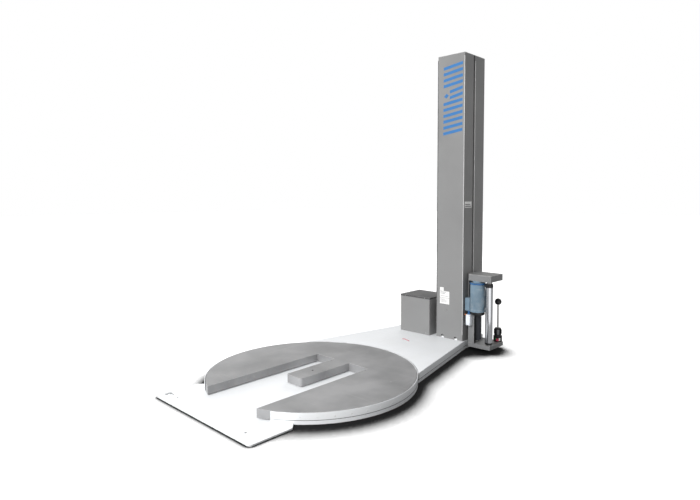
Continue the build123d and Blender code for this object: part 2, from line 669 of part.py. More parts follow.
with BuildPart() as deck_cover:
    with BuildSketch(Plane.XY.offset(RIM_TOP + SEAM)):
        add(deck_outline())
    extrude(amount=DECK_TOP - RIM_TOP - SEAM)
    top_edges = deck_cover.edges().group_by(Axis.Z)[-1].filter_by(GeomType.LINE)
    fillet(top_edges.filter_by_position(Axis.Y, DECK_FRONT_Y + 1, DECK_REAR_Y + 1), SHEET + 1)
    with BuildSketch(Plane.XY.offset(RIM_TOP)):
        add(deck_outline(SHEET))
        with Locations((0, 0)):
            Circle(DECK_ARC + SHEET, mode=Mode.SUBTRACT)
    extrude(amount=DECK_UNDER - RIM_TOP, mode=Mode.SUBTRACT)
    # the front wall is left open, behind the guard ring
    with BuildSketch(Plane.XY.offset(RIM_TOP)):
        Circle(DECK_ARC + 2 * SHEET)
        with Locations((0, 0)):
            Rectangle(4 * DECK_ARC, 2 * (DECK_FRONT_Y + GUARD_WALL), mode=Mode.SUBTRACT)
    extrude(amount=DECK_UNDER - RIM_TOP, mode=Mode.SUBTRACT)
    slab(
        PEDESTAL_LEFT - 1, PEDESTAL_RIGHT + 1, PEDESTAL_FRONT - 1, PEDESTAL_REAR + 1, DECK_UNDER - CUT_OVER,
        DECK_TOP + CUT_OVER, mode=Mode.SUBTRACT,
    )
    slab(
        GEARMOTOR_X - MOUNT_HALF - CUTOUT_MARGIN, GEARMOTOR_X + MOUNT_HALF + CUTOUT_MARGIN,
        GEARMOTOR_Y - MOUNT_HALF - CUTOUT_MARGIN, GEARMOTOR_Y + MOUNT_HALF + CUTOUT_MARGIN,
        DECK_UNDER - CUT_OVER, DECK_TOP + CUT_OVER, mode=Mode.SUBTRACT,
    )
save(deck_cover, "deck_cover")

with BuildPart() as pivot_pin:
    upright(0, 0, BASE_THICKNESS, BASE_THICKNESS + PIVOT_FLANGE_THICKNESS, PIVOT_FLANGE)
    upright(0, 0, BASE_THICKNESS, PLATE_BOTTOM - PIVOT_SHORT, PIVOT_RADIUS)
    chamfer(pivot_pin.faces().sort_by(Axis.Z)[-1].edges(), PIVOT_CHAMFER)
    with Locations((0, 0, BASE_THICKNESS + PIVOT_FLANGE_THICKNESS)):
        with PolarLocations(PIVOT_FLANGE - PIVOT_SCREW_INSET, 4):
            CounterSinkHole(PIVOT_SCREW_RADIUS, PIVOT_SCREW_HEAD)
save(pivot_pin, "pivot_pin")

# ======== turntable ========

with BuildPart() as turntable_deck:
    with BuildSketch(Plane.XY.offset(PLATE_BOTTOM)):
        add(table_outline())
    extrude(amount=TABLE_PLATE)
    chamfer(turntable_deck.faces().sort_by(Axis.Z)[-1].edges(), SMALL_CHAMFER)
    with BuildSketch(Plane.XY.offset(SKIRT_BOTTOM)):
        add(table_outline())
        add(inset_of(table_outline(), SKIRT_WALL, Kind.ARC), mode=Mode.SUBTRACT)
    extrude(amount=PLATE_BOTTOM - SKIRT_BOTTOM)
    with Locations((0, 0, TABLE_TOP)):
        CounterBoreHole(COVER_SCREW_RADIUS, COVER_SCREW_HEAD, COVER_SCREW_SINK, TABLE_PLATE)
save(turntable_deck, "turntable_deck")


def radial_frame(angle, radius, level):
    """Plane at a place under the turntable: x outwards, z up, angle from +Y clockwise."""
    out = (sin(radians(angle)), cos(radians(angle)), 0)
    return Plane(origin=(radius * out[0], radius * out[1], level), x_dir=out, z_dir=(0, 0, 1))


LYING = Location((0, 0, 0), (0, 90, 0))  # turns an upright cylinder onto the frame's x

with BuildPart() as turntable_underframe:
    for rib_x in (-TONGUE_RIB, TONGUE_RIB):
        slab(
            rib_x - RIB / 2, rib_x + RIB / 2, TONGUE_TIP + SKIRT_WALL, SLOT_END + RIB_REACH,
            RIB_BOTTOM, PLATE_BOTTOM,
        )
    upright(0, 0, RIB_BOTTOM - HUB_DROP, PLATE_BOTTOM, HUB_RADIUS)
    upright(0, 0, RIB_BOTTOM - HUB_DROP, PLATE_BOTTOM, BEARING_RADIUS + SEAT_FIT, mode=Mode.SUBTRACT)
    for angle in ROLLER_ANGLES:
        with Locations(radial_frame(angle, RIB_INNER, RIB_BOTTOM).location):
            Box(
                ROLLER_PATH - ROLLER_WIDTH / 2 - RIB_INNER - RIB_SHORT, RIB, PLATE_BOTTOM - RIB_BOTTOM,
                align=(Align.MIN, Align.CENTER, Align.MIN),
            )
        for side in (-1, 1):
            plate_at = ROLLER_PATH + side * (ROLLER_WIDTH / 2 + FORK_SIDE_GAP + FORK_PLATE / 2)
            with Locations(radial_frame(angle, plate_at, ROLLER_LEVEL - FORK_DROP).location):
                Box(
                    FORK_PLATE, FORK_WIDTH, PLATE_BOTTOM - ROLLER_LEVEL + FORK_DROP,
                    align=(Align.CENTER, Align.CENTER, Align.MIN),
                )
        with Locations(radial_frame(angle, ROLLER_PATH, ROLLER_LEVEL).location * LYING):
            Cylinder(ROLLER_PIN, ROLLER_WIDTH + 4 * FORK_PLATE + 2 * PIN_END)
save(turntable_underframe, "turntable_underframe")

with BuildPart() as pivot_bearing:
    upright(0, 0, RIB_BOTTOM - BEARING_DROP, PLATE_BOTTOM - BEARING_SHORT, BEARING_RADIUS)
    upright(
        0, 0, RIB_BOTTOM - BEARING_DROP, PLATE_BOTTOM - BEARING_SHORT, PIVOT_RADIUS + RUNNING_FIT,
        mode=Mode.SUBTRACT,
    )
save(pivot_bearing, "pivot_bearing")

for number, angle in enumerate(ROLLER_ANGLES, 1):
    with BuildPart() as support_roller:
        with Locations(radial_frame(angle, ROLLER_PATH, ROLLER_LEVEL).location * LYING):
            Cylinder(ROLLER_RADIUS, ROLLER_WIDTH)
        chamfer(support_roller.edges().filter_by(GeomType.CIRCLE), ROLLER_CHAMFER)
        with Locations(radial_frame(angle, ROLLER_PATH, ROLLER_LEVEL).location * LYING):
            Cylinder(ROLLER_PIN + RUNNING_FIT, ROLLER_WIDTH + 2 * CUT_OVER, mode=Mode.SUBTRACT)
    save(support_roller, f"support_roller_{number}")

# ======== turntable drive, in the deck ========

for name, side, chain_level in (("left", -1, CHAIN_LEVELS[0]), ("right", 1, CHAIN_LEVELS[1])):
    with BuildPart() as drive_wheel:
        upright(side * WHEEL_X, WHEEL_Y, WHEEL_BOTTOM, WHEEL_TOP, WHEEL_RADIUS)
        chamfer(drive_wheel.edges().filter_by(GeomType.CIRCLE), ROLLER_CHAMFER)
        upright(side * WHEEL_X, WHEEL_Y, BASE_THICKNESS + WHEEL_UNDER, SHAFT_TOP, WHEEL_SHAFT)
        upright(side * WHEEL_X, WHEEL_Y, WHEEL_TOP, chain_level, WHEEL_SHAFT + WHEEL_HUB_WALL)
        upright(
            side * WHEEL_X, WHEEL_Y, chain_level, chain_level + CHAIN_HEIGHT,
            CHAIN_RADIUS - CHAIN_THICKNESS / 2 - TOUCH_GAP,
        )
    save(drive_wheel, f"drive_wheel_{name}")


def wheel_frame(side, level):
    """Plane at a drive wheel's axis: x away from the turntable, y along its rim."""
    out = (side * sin(radians(WHEEL_ANGLE)), cos(radians(WHEEL_ANGLE)), 0)
    return Plane(origin=(side * WHEEL_X, WHEEL_Y, level), x_dir=out, z_dir=(0, 0, 1))


with BuildPart() as wheel_bearings:
    for side in (-1, 1):
        upright(side * WHEEL_X, WHEEL_Y, BASE_THICKNESS, WHEEL_BOTTOM - WHEEL_UNDER, BEARING_FLANGE)
        # bridge over the wheel, on two legs beside it that the chain clears
        with Locations(wheel_frame(side, SHAFT_TOP - BRIDGE_DROP).location):
            Box(
                2 * BEARING_FLANGE, 2 * LEG_REACH, DECK_UNDER - SHAFT_TOP + BRIDGE_DROP,
                align=(Align.CENTER, Align.CENTER, Align.MIN),
            )
        with Locations(wheel_frame(side, BASE_THICKNESS).location):
            for end in (-1, 1):
                with Locations((-BEARING_FLANGE, end * (LEG_REACH - LEG_THICKNESS / 2), 0)):
                    Box(
                        LEG_WIDTH, LEG_THICKNESS, SHAFT_TOP - BRIDGE_DROP - BASE_THICKNESS,
                        align=(Align.MIN, Align.CENTER, Align.MIN),
                    )
        upright(
            side * WHEEL_X, WHEEL_Y, BASE_THICKNESS, SHAFT_TOP + 0.5, WHEEL_SHAFT + RUNNING_FIT,
            mode=Mode.SUBTRACT,
        )
save(wheel_bearings, "wheel_bearings")

with BuildPart() as table_gearmotor:
    slab(
        GEARMOTOR_X - MOUNT_HALF, GEARMOTOR_X + MOUNT_HALF, GEARMOTOR_Y - MOUNT_HALF,
        GEARMOTOR_Y + MOUNT_HALF, DECK_TOP, GEARBOX_BOTTOM,
    )
    slab(
        GEARMOTOR_X - GEARBOX_SIZE / 2, GEARMOTOR_X + GEARBOX_SIZE / 2, GEARMOTOR_Y - GEARBOX_SIZE / 2,
        GEARMOTOR_Y + GEARBOX_SIZE / 2, GEARBOX_BOTTOM, GEARBOX_TOP,
    )
    fillet(table_gearmotor.edges().filter_by(Axis.Z).filter_by_position(
        Axis.Y, GEARMOTOR_Y - GEARBOX_SIZE / 2 - 1, GEARMOTOR_Y + GEARBOX_SIZE / 2 + 1), GEARBOX_FILLET)
    upright(GEARMOTOR_X, GEARMOTOR_Y, GEARBOX_TOP, GEARBOX_TOP + GEARMOTOR_LENGTH, GEARMOTOR_RADIUS)
    fillet(table_gearmotor.faces().sort_by(Axis.Z)[-1].edges(), MOTOR_FILLET)
    upright(
        GEARMOTOR_X, GEARMOTOR_Y, DECK_TOP, GEARBOX_BOTTOM + OUTPUT_BORE, WHEEL_SHAFT + RUNNING_FIT,
        mode=Mode.SUBTRACT,
    )
save(table_gearmotor, "table_gearmotor")

with BuildPart() as table_drive_shaft:
    upright(
        GEARMOTOR_X, GEARMOTOR_Y, CHAIN_LEVELS[0] - OUTPUT_END, GEARBOX_BOTTOM + OUTPUT_BORE - 2, WHEEL_SHAFT,
    )
    for level in CHAIN_LEVELS:
        upright(
            GEARMOTOR_X, GEARMOTOR_Y, level, level + CHAIN_HEIGHT,
            CHAIN_RADIUS - CHAIN_THICKNESS / 2 - TOUCH_GAP,
        )
save(table_drive_shaft, "table_drive_shaft")


def chain_plan(ends, radius, thickness):
    """Closed loop round equal or unequal wheels: the band between two hulls."""
    loops = []
    for grow in (thickness / 2, -thickness / 2):
        with BuildSketch() as hull:
            for x, y, own in ends:
                with Locations((x, y)):
                    Circle(own + radius + grow)
            make_hull()
        loops.append(hull.sketch)
    with BuildSketch() as band:
        add(loops[0])
        add(loops[1], mode=Mode.SUBTRACT)
    return band.sketch


with BuildPart() as table_chains:
    for side, level in ((-1, CHAIN_LEVELS[0]), (1, CHAIN_LEVELS[1])):
        with BuildSketch(Plane.XY.offset(level)):
            ends = ((GEARMOTOR_X, GEARMOTOR_Y, 0), (side * WHEEL_X, WHEEL_Y, 0))
            add(chain_plan(ends, CHAIN_RADIUS, CHAIN_THICKNESS))
        extrude(amount=CHAIN_HEIGHT)
save(table_chains, "table_chains")

with BuildPart() as drive_cover:
    slab(COVER_LEFT, COVER_RIGHT, COVER_FRONT, COVER_REAR, DECK_TOP, COVER_TOP)
    fillet(drive_cover.edges().group_by(Axis.Z)[-1] + drive_cover.edges().filter_by(Axis.Z), SHEET + 1)
    slab(
        COVER_LEFT + SHEET, COVER_RIGHT - SHEET, COVER_FRONT + SHEET, COVER_REAR - SHEET, DECK_TOP,
        COVER_TOP - SHEET, mode=Mode.SUBTRACT,
    )
save(drive_cover, "drive_cover")

# ======== column ========

with BuildPart() as column_foot:
    slab(PEDESTAL_LEFT, PEDESTAL_RIGHT, PEDESTAL_FRONT, PEDESTAL_REAR, DECK_TOP, FOOT_TOP)
    for bolt_x in (COLUMN_CENTRE - FOOT_BOLT_OFFSET, COLUMN_CENTRE + FOOT_BOLT_OFFSET):
        for bolt_y in (COLUMN_FRONT + FOOT_BOLT_INSET, COLUMN_REAR - FOOT_BOLT_INSET):
            upright(bolt_x, bolt_y, DECK_TOP, FOOT_TOP, FOOT_BOLT_RADIUS + SEAT_FIT, mode=Mode.SUBTRACT)
    # two welded cheeks carry the lift chain's lower shaft
    for cheek in (-1, 1):
        cheek_y = COLUMN_MIDDLE + cheek * CHEEK_OFFSET
        slab(
            LIFT_X - CHEEK_HALF, LIFT_X + CHEEK_HALF, cheek_y - CHEEK / 2, cheek_y + CHEEK / 2, FOOT_TOP,
            LIFT_BOTTOM + CHEEK_OVER,
        )
    along_y(
        LIFT_X, COLUMN_MIDDLE - LIFT_SHAFT_HALF, COLUMN_MIDDLE + LIFT_SHAFT_HALF, LIFT_BOTTOM,
        LIFT_SHAFT + RUNNING_FIT, mode=Mode.SUBTRACT,
    )
save(column_foot, "column_foot")

with BuildPart() as foot_bolts:
    for bolt_x in (COLUMN_CENTRE - FOOT_BOLT_OFFSET, COLUMN_CENTRE + FOOT_BOLT_OFFSET):
        for bolt_y in (COLUMN_FRONT + FOOT_BOLT_INSET, COLUMN_REAR - FOOT_BOLT_INSET):
            with BuildSketch(Plane.XY.offset(FOOT_TOP)):
                with Locations((bolt_x, bolt_y)):
                    RegularPolygon(FOOT_BOLT_ACROSS / 2, 6, major_radius=False)
            extrude(amount=FOOT_BOLT_HEAD)
            upright(bolt_x, bolt_y, DECK_TOP - FOOT_BOLT_SHANK, FOOT_TOP, FOOT_BOLT_RADIUS - SEAT_FIT)
save(foot_bolts, "foot_bolts")

with BuildPart() as column_front_shell:
    slab(COLUMN_LEFT, COLUMN_RIGHT, COLUMN_FRONT, SLOT_FRONT, SHELL_BOTTOM, SHELL_TOP)
    slab(
        COLUMN_LEFT, COLUMN_LEFT + SHEET, SLOT_FRONT, COLUMN_MIDDLE, SHELL_BOTTOM, SHELL_TOP,
    )
    fillet(
        column_front_shell.edges().filter_by(Axis.Z).filter_by_position(
            Axis.Y, COLUMN_FRONT - 1, COLUMN_FRONT + 1), EDGE_FILLET,
    )
    slab(
        COLUMN_LEFT + SHEET, COLUMN_RIGHT - SHEET, COLUMN_FRONT + SHEET, SLOT_FRONT, SHELL_BOTTOM, SHELL_TOP,
        mode=Mode.SUBTRACT,
    )
    slab(SHELL_RIGHT - SLOT_RETURN, SHELL_RIGHT, SLOT_FRONT - SHEET, SLOT_FRONT, RETURN_BOTTOM, SHELL_TOP)
    for notch_x in (COLUMN_CENTRE - FOOT_BOLT_OFFSET, COLUMN_CENTRE + FOOT_BOLT_OFFSET):
        slab(
            notch_x - NOTCH_HALF, notch_x + NOTCH_HALF, COLUMN_FRONT - 1, COLUMN_FRONT + SHEET + 1,
            SHELL_BOTTOM, SHELL_BOTTOM + NOTCH_HEIGHT, mode=Mode.SUBTRACT,
        )
save(column_front_shell, "column_front_shell")

with BuildPart() as column_rear_shell:
    slab(COLUMN_LEFT, COLUMN_RIGHT, SLOT_REAR, COLUMN_REAR, SHELL_BOTTOM, SHELL_TOP)
    slab(
        COLUMN_LEFT, COLUMN_LEFT + SHEET, COLUMN_MIDDLE + SHELL_SEAM, SLOT_REAR, SHELL_BOTTOM, SHELL_TOP,
    )
    fillet(
        column_rear_shell.edges().filter_by(Axis.Z).filter_by_position(
            Axis.Y, COLUMN_REAR - 1, COLUMN_REAR + 1), EDGE_FILLET,
    )
    slab(
        COLUMN_LEFT + SHEET, COLUMN_RIGHT - SHEET, SLOT_REAR, COLUMN_REAR - SHEET, SHELL_BOTTOM, SHELL_TOP,
        mode=Mode.SUBTRACT,
    )
    slab(SHELL_RIGHT - SLOT_RETURN, SHELL_RIGHT, SLOT_REAR, SLOT_REAR + SHEET, RETURN_BOTTOM, SHELL_TOP)
save(column_rear_shell, "column_rear_shell")

with BuildPart() as column_cap:
    slab(COLUMN_LEFT, COLUMN_RIGHT, COLUMN_FRONT, COLUMN_REAR, SHELL_TOP, COLUMN_TOP)
    fillet(column_cap.edges().filter_by(Axis.Z), EDGE_FILLET)
    chamfer(column_cap.faces().sort_by(Axis.Z)[-1].edges(), SMALL_CHAMFER)
    slab(
        COLUMN_LEFT + SHEET + CAP_FIT, SHELL_RIGHT - RAIL_DEPTH, COLUMN_FRONT + SHEET + CAP_FIT,
        COLUMN_REAR - SHEET - CAP_FIT, SHELL_TOP - CAP_FLANGE, SHELL_TOP,
    )
    slab(
        COLUMN_LEFT + 2 * SHEET + CAP_FIT, SHELL_RIGHT - RAIL_DEPTH - SHEET,
        COLUMN_FRONT + 2 * SHEET + CAP_FIT, COLUMN_REAR - 2 * SHEET - CAP_FIT, SHELL_TOP - CAP_FLANGE,
        SHELL_TOP, mode=Mode.SUBTRACT,
    )
save(column_cap, "column_cap")

with BuildPart() as guide_rails:
    for side in (-1, 1):
        rail_y = COLUMN_MIDDLE + side * GUIDE_OFFSET
        slab(
            RAIL_LEFT, SHELL_RIGHT, rail_y - RAIL_HALF - RAIL_WALL, rail_y + RAIL_HALF + RAIL_WALL,
            FOOT_TOP, SHELL_TOP,
        )
        slab(
            RAIL_LEFT, SHELL_RIGHT - RAIL_WALL, rail_y - RAIL_HALF, rail_y + RAIL_HALF, FOOT_TOP, SHELL_TOP,
            mode=Mode.SUBTRACT,
        )
save(guide_rails, "guide_rails")

# ======== lift drive, in the column ========

GEARBOX_FRONT = COLUMN_FRONT + SHEET + LIFT_GEARBOX_FRONT
GEARBOX_REAR = COLUMN_MIDDLE - LIFT_GEARBOX_REAR
GEARBOX_RIGHT = LIFT_X + LIFT_GEARBOX / 2 - LIFT_GEARBOX_MARGIN
LIFT_MOTOR_X = COLUMN_LEFT + SHEET + LIFT_MOTOR_SIDE + LIFT_MOTOR_RADIUS
with BuildPart() as lift_gearmotor:
    slab(
        LIFT_MOTOR_X - LIFT_GEARBOX / 2, GEARBOX_RIGHT, GEARBOX_FRONT, GEARBOX_REAR,
        LIFT_TOP - LIFT_GEARBOX / 2, LIFT_TOP + LIFT_GEARBOX / 2,
    )
    fillet(lift_gearmotor.edges().filter_by(Axis.Y), GEARBOX_FILLET)
    upright(
        LIFT_MOTOR_X, (GEARBOX_FRONT + GEARBOX_REAR) / 2, LIFT_TOP - LIFT_GEARBOX / 2 - LIFT_MOTOR_LENGTH,
        LIFT_TOP - LIFT_GEARBOX / 2, LIFT_MOTOR_RADIUS,
    )
    fillet(lift_gearmotor.faces().sort_by(Axis.Z)[0].edges(), LIFT_MOTOR_FILLET)
    # mounting plate, bolted between the shell's side and the gearbox
    slab(
        COLUMN_LEFT + SHEET, GEARBOX_RIGHT, GEARBOX_REAR, GEARBOX_REAR + LIFT_PLATE,
        LIFT_TOP - LIFT_GEARBOX / 2 - LIFT_PLATE_OVER, LIFT_TOP + LIFT_GEARBOX / 2 + LIFT_PLATE_OVER,
    )
    along_y(
        LIFT_X, GEARBOX_REAR - LIFT_BORE, GEARBOX_REAR + LIFT_PLATE, LIFT_TOP, LIFT_SHAFT + RUNNING_FIT,
        mode=Mode.SUBTRACT,
    )
save(lift_gearmotor, "lift_gearmotor")

LIFT_DISC = LIFT_SPROCKET_RADIUS - LIFT_CHAIN / 2 - TOUCH_GAP
with BuildPart() as lift_sprocket:
    along_y(LIFT_X, GEARBOX_REAR - LIFT_BORE + 2, COLUMN_MIDDLE + LIFT_SHAFT_END, LIFT_TOP, LIFT_SHAFT)
    along_y(
        LIFT_X, COLUMN_MIDDLE - LIFT_SPROCKET_WIDTH / 2, COLUMN_MIDDLE + LIFT_SPROCKET_WIDTH / 2, LIFT_TOP,
        LIFT_DISC,
    )
save(lift_sprocket, "lift_sprocket")

with BuildPart() as lift_idler:
    along_y(LIFT_X, COLUMN_MIDDLE - LIFT_SHAFT_HALF, COLUMN_MIDDLE + LIFT_SHAFT_HALF, LIFT_BOTTOM, LIFT_SHAFT)
    along_y(
        LIFT_X, COLUMN_MIDDLE - LIFT_SPROCKET_WIDTH / 2, COLUMN_MIDDLE + LIFT_SPROCKET_WIDTH / 2, LIFT_BOTTOM,
        LIFT_DISC,
    )
save(lift_idler, "lift_idler")

with BuildPart() as lift_chain:
    with BuildSketch(Plane.XZ.offset(-COLUMN_MIDDLE - LIFT_SPROCKET_WIDTH / 2)):
        ends = ((LIFT_X, LIFT_TOP, 0), (LIFT_X, LIFT_BOTTOM, 0))
        add(chain_plan(ends, LIFT_SPROCKET_RADIUS, LIFT_CHAIN))
    extrude(amount=LIFT_SPROCKET_WIDTH)
save(lift_chain, "lift_chain")

# ======== film carriage ========

with BuildPart() as carriage_frame:
    slab(BACKBONE_LEFT, BACKBONE_RIGHT, NOSE_Y, HOUSING_REAR - BACKBONE, TRAY_TOP, HOUSING_BOTTOM)
    slab(
        TROLLEY_RIGHT, BACKBONE_LEFT, COLUMN_MIDDLE - ARM_THICKNESS / 2, COLUMN_MIDDLE + ARM_THICKNESS / 2,
        TROLLEY_BOTTOM, TROLLEY_TOP,
    )
    slab(
        TROLLEY_LEFT, TROLLEY_RIGHT, COLUMN_MIDDLE - GUIDE_OFFSET - GUIDE_RADIUS,
        COLUMN_MIDDLE + GUIDE_OFFSET + GUIDE_RADIUS, TROLLEY_BOTTOM, TROLLEY_TOP,
    )
    for side in (-1, 1):
        for level in GUIDE_LEVELS:
            pin_y = COLUMN_MIDDLE + side * GUIDE_OFFSET
            along_x(TROLLEY_RIGHT, GUIDE_LEFT - PIN_END, pin_y, level, GUIDE_PIN + GUIDE_SHOULDER)
            along_x(TROLLEY_RIGHT, GUIDE_LEFT + GUIDE_WIDTH, pin_y, level, GUIDE_PIN)
    # clamp that holds the chain's carriage strand
    slab(
        STRAND_X + LIFT_CHAIN / 2 + CLAMP_GAP, TROLLEY_LEFT, COLUMN_MIDDLE - CLAMP_HALF,
        COLUMN_MIDDLE + CLAMP_HALF, CLAMP_LOW, CLAMP_LOW + CLAMP_HEIGHT,
    )
    # folded front post between the tray and the motor
    slab(NOSE_X, POST_RIGHT, POST_FRONT, POST_FRONT + POST_WALL, TRAY_TOP, CARRIAGE_POST_TOP)
    with BuildSketch(Plane.XY.offset(TRAY_TOP)):
        with BuildLine():
            Polyline(
                (NOSE_X, POST_FRONT),
                (NOSE_X + POST_WALL, POST_FRONT + POST_WALL),
                (BACKBONE_RIGHT, NOSE_Y + POST_WALL),
                (BACKBONE_LEFT, NOSE_Y + POST_WALL),
                (BACKBONE_LEFT, NOSE_Y),
                close=True,
            )
        make_face()
    extrude(amount=CARRIAGE_POST_TOP - TRAY_TOP)
save(carriage_frame, "carriage_frame")

number = 0
for side in (-1, 1):
    for level in GUIDE_LEVELS:
        number += 1
        with BuildPart() as guide_roller:
            roller_y = COLUMN_MIDDLE + side * GUIDE_OFFSET
            along_x(GUIDE_LEFT, GUIDE_LEFT + GUIDE_WIDTH, roller_y, level, GUIDE_RADIUS)
            chamfer(guide_roller.edges().filter_by(GeomType.CIRCLE), ROLLER_CHAMFER)
            along_x(
                GUIDE_LEFT, GUIDE_LEFT + GUIDE_WIDTH, roller_y, level, GUIDE_PIN + RUNNING_FIT,
                mode=Mode.SUBTRACT,
            )
        save(guide_roller, f"guide_roller_{number}")

shaft_places = ((FEED_X, FEED_Y, FEED_SHAFT), (IDLER_X, IDLER_Y, IDLER_SHAFT))

with BuildPart() as film_tray:
    with BuildSketch(Plane.XY.offset(TRAY_BOTTOM)) as tray_plan:
        add(plate_outline(TRAY_FRONT, TRAY_REAR, TRAY_RIGHT))
    extrude(amount=TRAY_TOP - TRAY_BOTTOM)
    fillet(film_tray.edges().filter_by(Axis.Z), TRAY_FILLET)
    with BuildSketch(Plane.XY.offset(TRAY_BOTTOM)):
        add(inset_of(plate_outline(TRAY_FRONT, TRAY_REAR, TRAY_RIGHT), TRAY_WALL))
    extrude(amount=TRAY_UNDER - TRAY_BOTTOM, mode=Mode.SUBTRACT)
    for x, y, radius in shaft_places:
        upright(x, y, TRAY_TOP, TRAY_TOP + BOSS_HEIGHT, radius + BOSS_WALL)
    for x, y, radius in shaft_places:
        upright(x, y, TRAY_UNDER, TRAY_TOP + BOSS_HEIGHT, radius + RUNNING_FIT, mode=Mode.SUBTRACT)
    upright(SPINDLE_X, SPINDLE_Y, TRAY_BOTTOM, TRAY_TOP, SPINDLE_RADIUS + SPINDLE_BOSS)
    upright(SPINDLE_X, SPINDLE_Y, TRAY_BOTTOM, TRAY_TOP, SPINDLE_RADIUS + RUNNING_FIT, mode=Mode.SUBTRACT)
save(film_tray, "film_tray")

with BuildPart() as gear_housing:
    with BuildSketch(Plane.XY.offset(HOUSING_BOTTOM)):
        add(plate_outline(TRAY_FRONT, HOUSING_REAR, HOUSING_RIGHT))
    extrude(amount=LID_BOTTOM - HOUSING_BOTTOM)
    fillet(gear_housing.edges().filter_by(Axis.Z), EDGE_FILLET)
    with BuildSketch(Plane.XY.offset(HOUSING_FLOOR)):
        add(inset_of(plate_outline(TRAY_FRONT, HOUSING_REAR, HOUSING_RIGHT), SHEET))
    extrude(amount=LID_BOTTOM - HOUSING_FLOOR, mode=Mode.SUBTRACT)
    for x, y, radius in shaft_places:
        upright(x, y, HOUSING_BOTTOM - BOSS_HEIGHT, HOUSING_BOTTOM, radius + BOSS_WALL)
    for x, y, radius in shaft_places:
        upright(
            x, y, HOUSING_BOTTOM - BOSS_HEIGHT, HOUSING_FLOOR, radius + RUNNING_FIT, mode=Mode.SUBTRACT,
        )
    upright(
        MOTOR_X, MOTOR_Y, HOUSING_BOTTOM, HOUSING_FLOOR, MOTOR_SHAFT + SHAFT_CLEARANCE, mode=Mode.SUBTRACT,
    )
save(gear_housing, "gear_housing")

with BuildPart() as housing_lid:
    with BuildSketch(Plane.XY.offset(LID_BOTTOM)):
        add(plate_outline(TRAY_FRONT, HOUSING_REAR, HOUSING_RIGHT))
    extrude(amount=SHEET)
    fillet(housing_lid.edges().filter_by(Axis.Z), EDGE_FILLET)
    chamfer(housing_lid.faces().sort_by(Axis.Z)[-1].edges(), LID_CHAMFER)
save(housing_lid, "housing_lid")

with BuildPart() as feed_motor:
    upright(MOTOR_X, MOTOR_Y, MOTOR_BOTTOM, MOTOR_TOP - MOTOR_FLANGE, MOTOR_RADIUS - FLANGE_STEP)
    upright(MOTOR_X, MOTOR_Y, MOTOR_TOP - MOTOR_FLANGE, MOTOR_TOP, MOTOR_RADIUS)
    upright(MOTOR_X, MOTOR_Y, MOTOR_TOP, HOUSING_BOTTOM, MOTOR_NECK)
    upright(
        MOTOR_X, MOTOR_Y, MOTOR_TOP - MOTOR_BORE, HOUSING_BOTTOM, MOTOR_SHAFT + RUNNING_FIT,
        mode=Mode.SUBTRACT,
    )
    # flat seat for the terminal box
    slab(
        TERMINAL_LEFT, TERMINAL_RIGHT, TERMINAL_FRONT, TERMINAL_REAR, TERMINAL_BOTTOM, TERMINAL_TOP,
        mode=Mode.SUBTRACT,
    )
save(feed_motor, "feed_motor")

with BuildPart() as terminal_box:
    slab(TERMINAL_LEFT, TERMINAL_RIGHT, TERMINAL_FRONT, TERMINAL_REAR, TERMINAL_BOTTOM, TERMINAL_TOP)
    fillet(
        terminal_box.edges().filter_by(Axis.Z).filter_by_position(
            Axis.X, TERMINAL_LEFT - 1, TERMINAL_LEFT + 1), EDGE_FILLET,
    )
save(terminal_box, "terminal_box")

with BuildPart() as motor_fan_cover:
    upright(MOTOR_X, MOTOR_Y, MOTOR_BOTTOM - FAN_COVER_HEIGHT, MOTOR_BOTTOM, MOTOR_RADIUS - FAN_COVER_STEP)
    fillet(motor_fan_cover.edges().group_by(Axis.Z)[0], FAN_COVER_FILLET)
save(motor_fan_cover, "motor_fan_cover")

with BuildPart() as junction_box:
    slab(
        JUNCTION_LEFT, JUNCTION_LEFT + JUNCTION_WIDTH, POST_FRONT - JUNCTION_DEPTH, POST_FRONT,
        JUNCTION_BOTTOM, JUNCTION_BOTTOM + JUNCTION_HEIGHT,
    )
    fillet(
        junction_box.edges().filter_by(Axis.Z) + junction_box.faces().sort_by(Axis.Y)[0].edges(),
        JUNCTION_FILLET,
    )
save(junction_box, "junction_box")

with BuildPart() as drive_pulley:
    upright(MOTOR_X, MOTOR_Y, MOTOR_TOP - MOTOR_BORE + 2, PULLEY_TOP + PULLEY_END, MOTOR_SHAFT)
    upright(MOTOR_X, MOTOR_Y, PULLEY_BOTTOM, PULLEY_TOP, DRIVE_PULLEY)
save(drive_pulley, "drive_pulley")

with BuildPart() as feed_shaft:
    upright(FEED_X, FEED_Y, TRAY_UNDER - SHAFT_END, PULLEY_TOP + PULLEY_END, FEED_SHAFT)
    upright(FEED_X, FEED_Y, PULLEY_BOTTOM, PULLEY_TOP, FEED_PULLEY)
save(feed_shaft, "feed_shaft")

with BuildPart() as feed_roller:
    upright(FEED_X, FEED_Y, ROLLER_BOTTOM, ROLLER_TOP, FEED_RADIUS)
    chamfer(feed_roller.edges().filter_by(GeomType.CIRCLE), FEED_CHAMFER)
    upright(FEED_X, FEED_Y, ROLLER_BOTTOM, ROLLER_TOP, FEED_SHAFT + SEAT_FIT, mode=Mode.SUBTRACT)
save(feed_roller, "feed_roller")

with BuildPart() as feed_belt:
    with BuildSketch(Plane.XY.offset(PULLEY_BOTTOM + BELT_MARGIN)):
        ends = ((MOTOR_X, MOTOR_Y, DRIVE_PULLEY), (FEED_X, FEED_Y, FEED_PULLEY))
        add(chain_plan(ends, TOUCH_GAP + BELT / 2, BELT))
    extrude(amount=PULLEY_WIDTH - 2 * BELT_MARGIN)
save(feed_belt, "feed_belt")

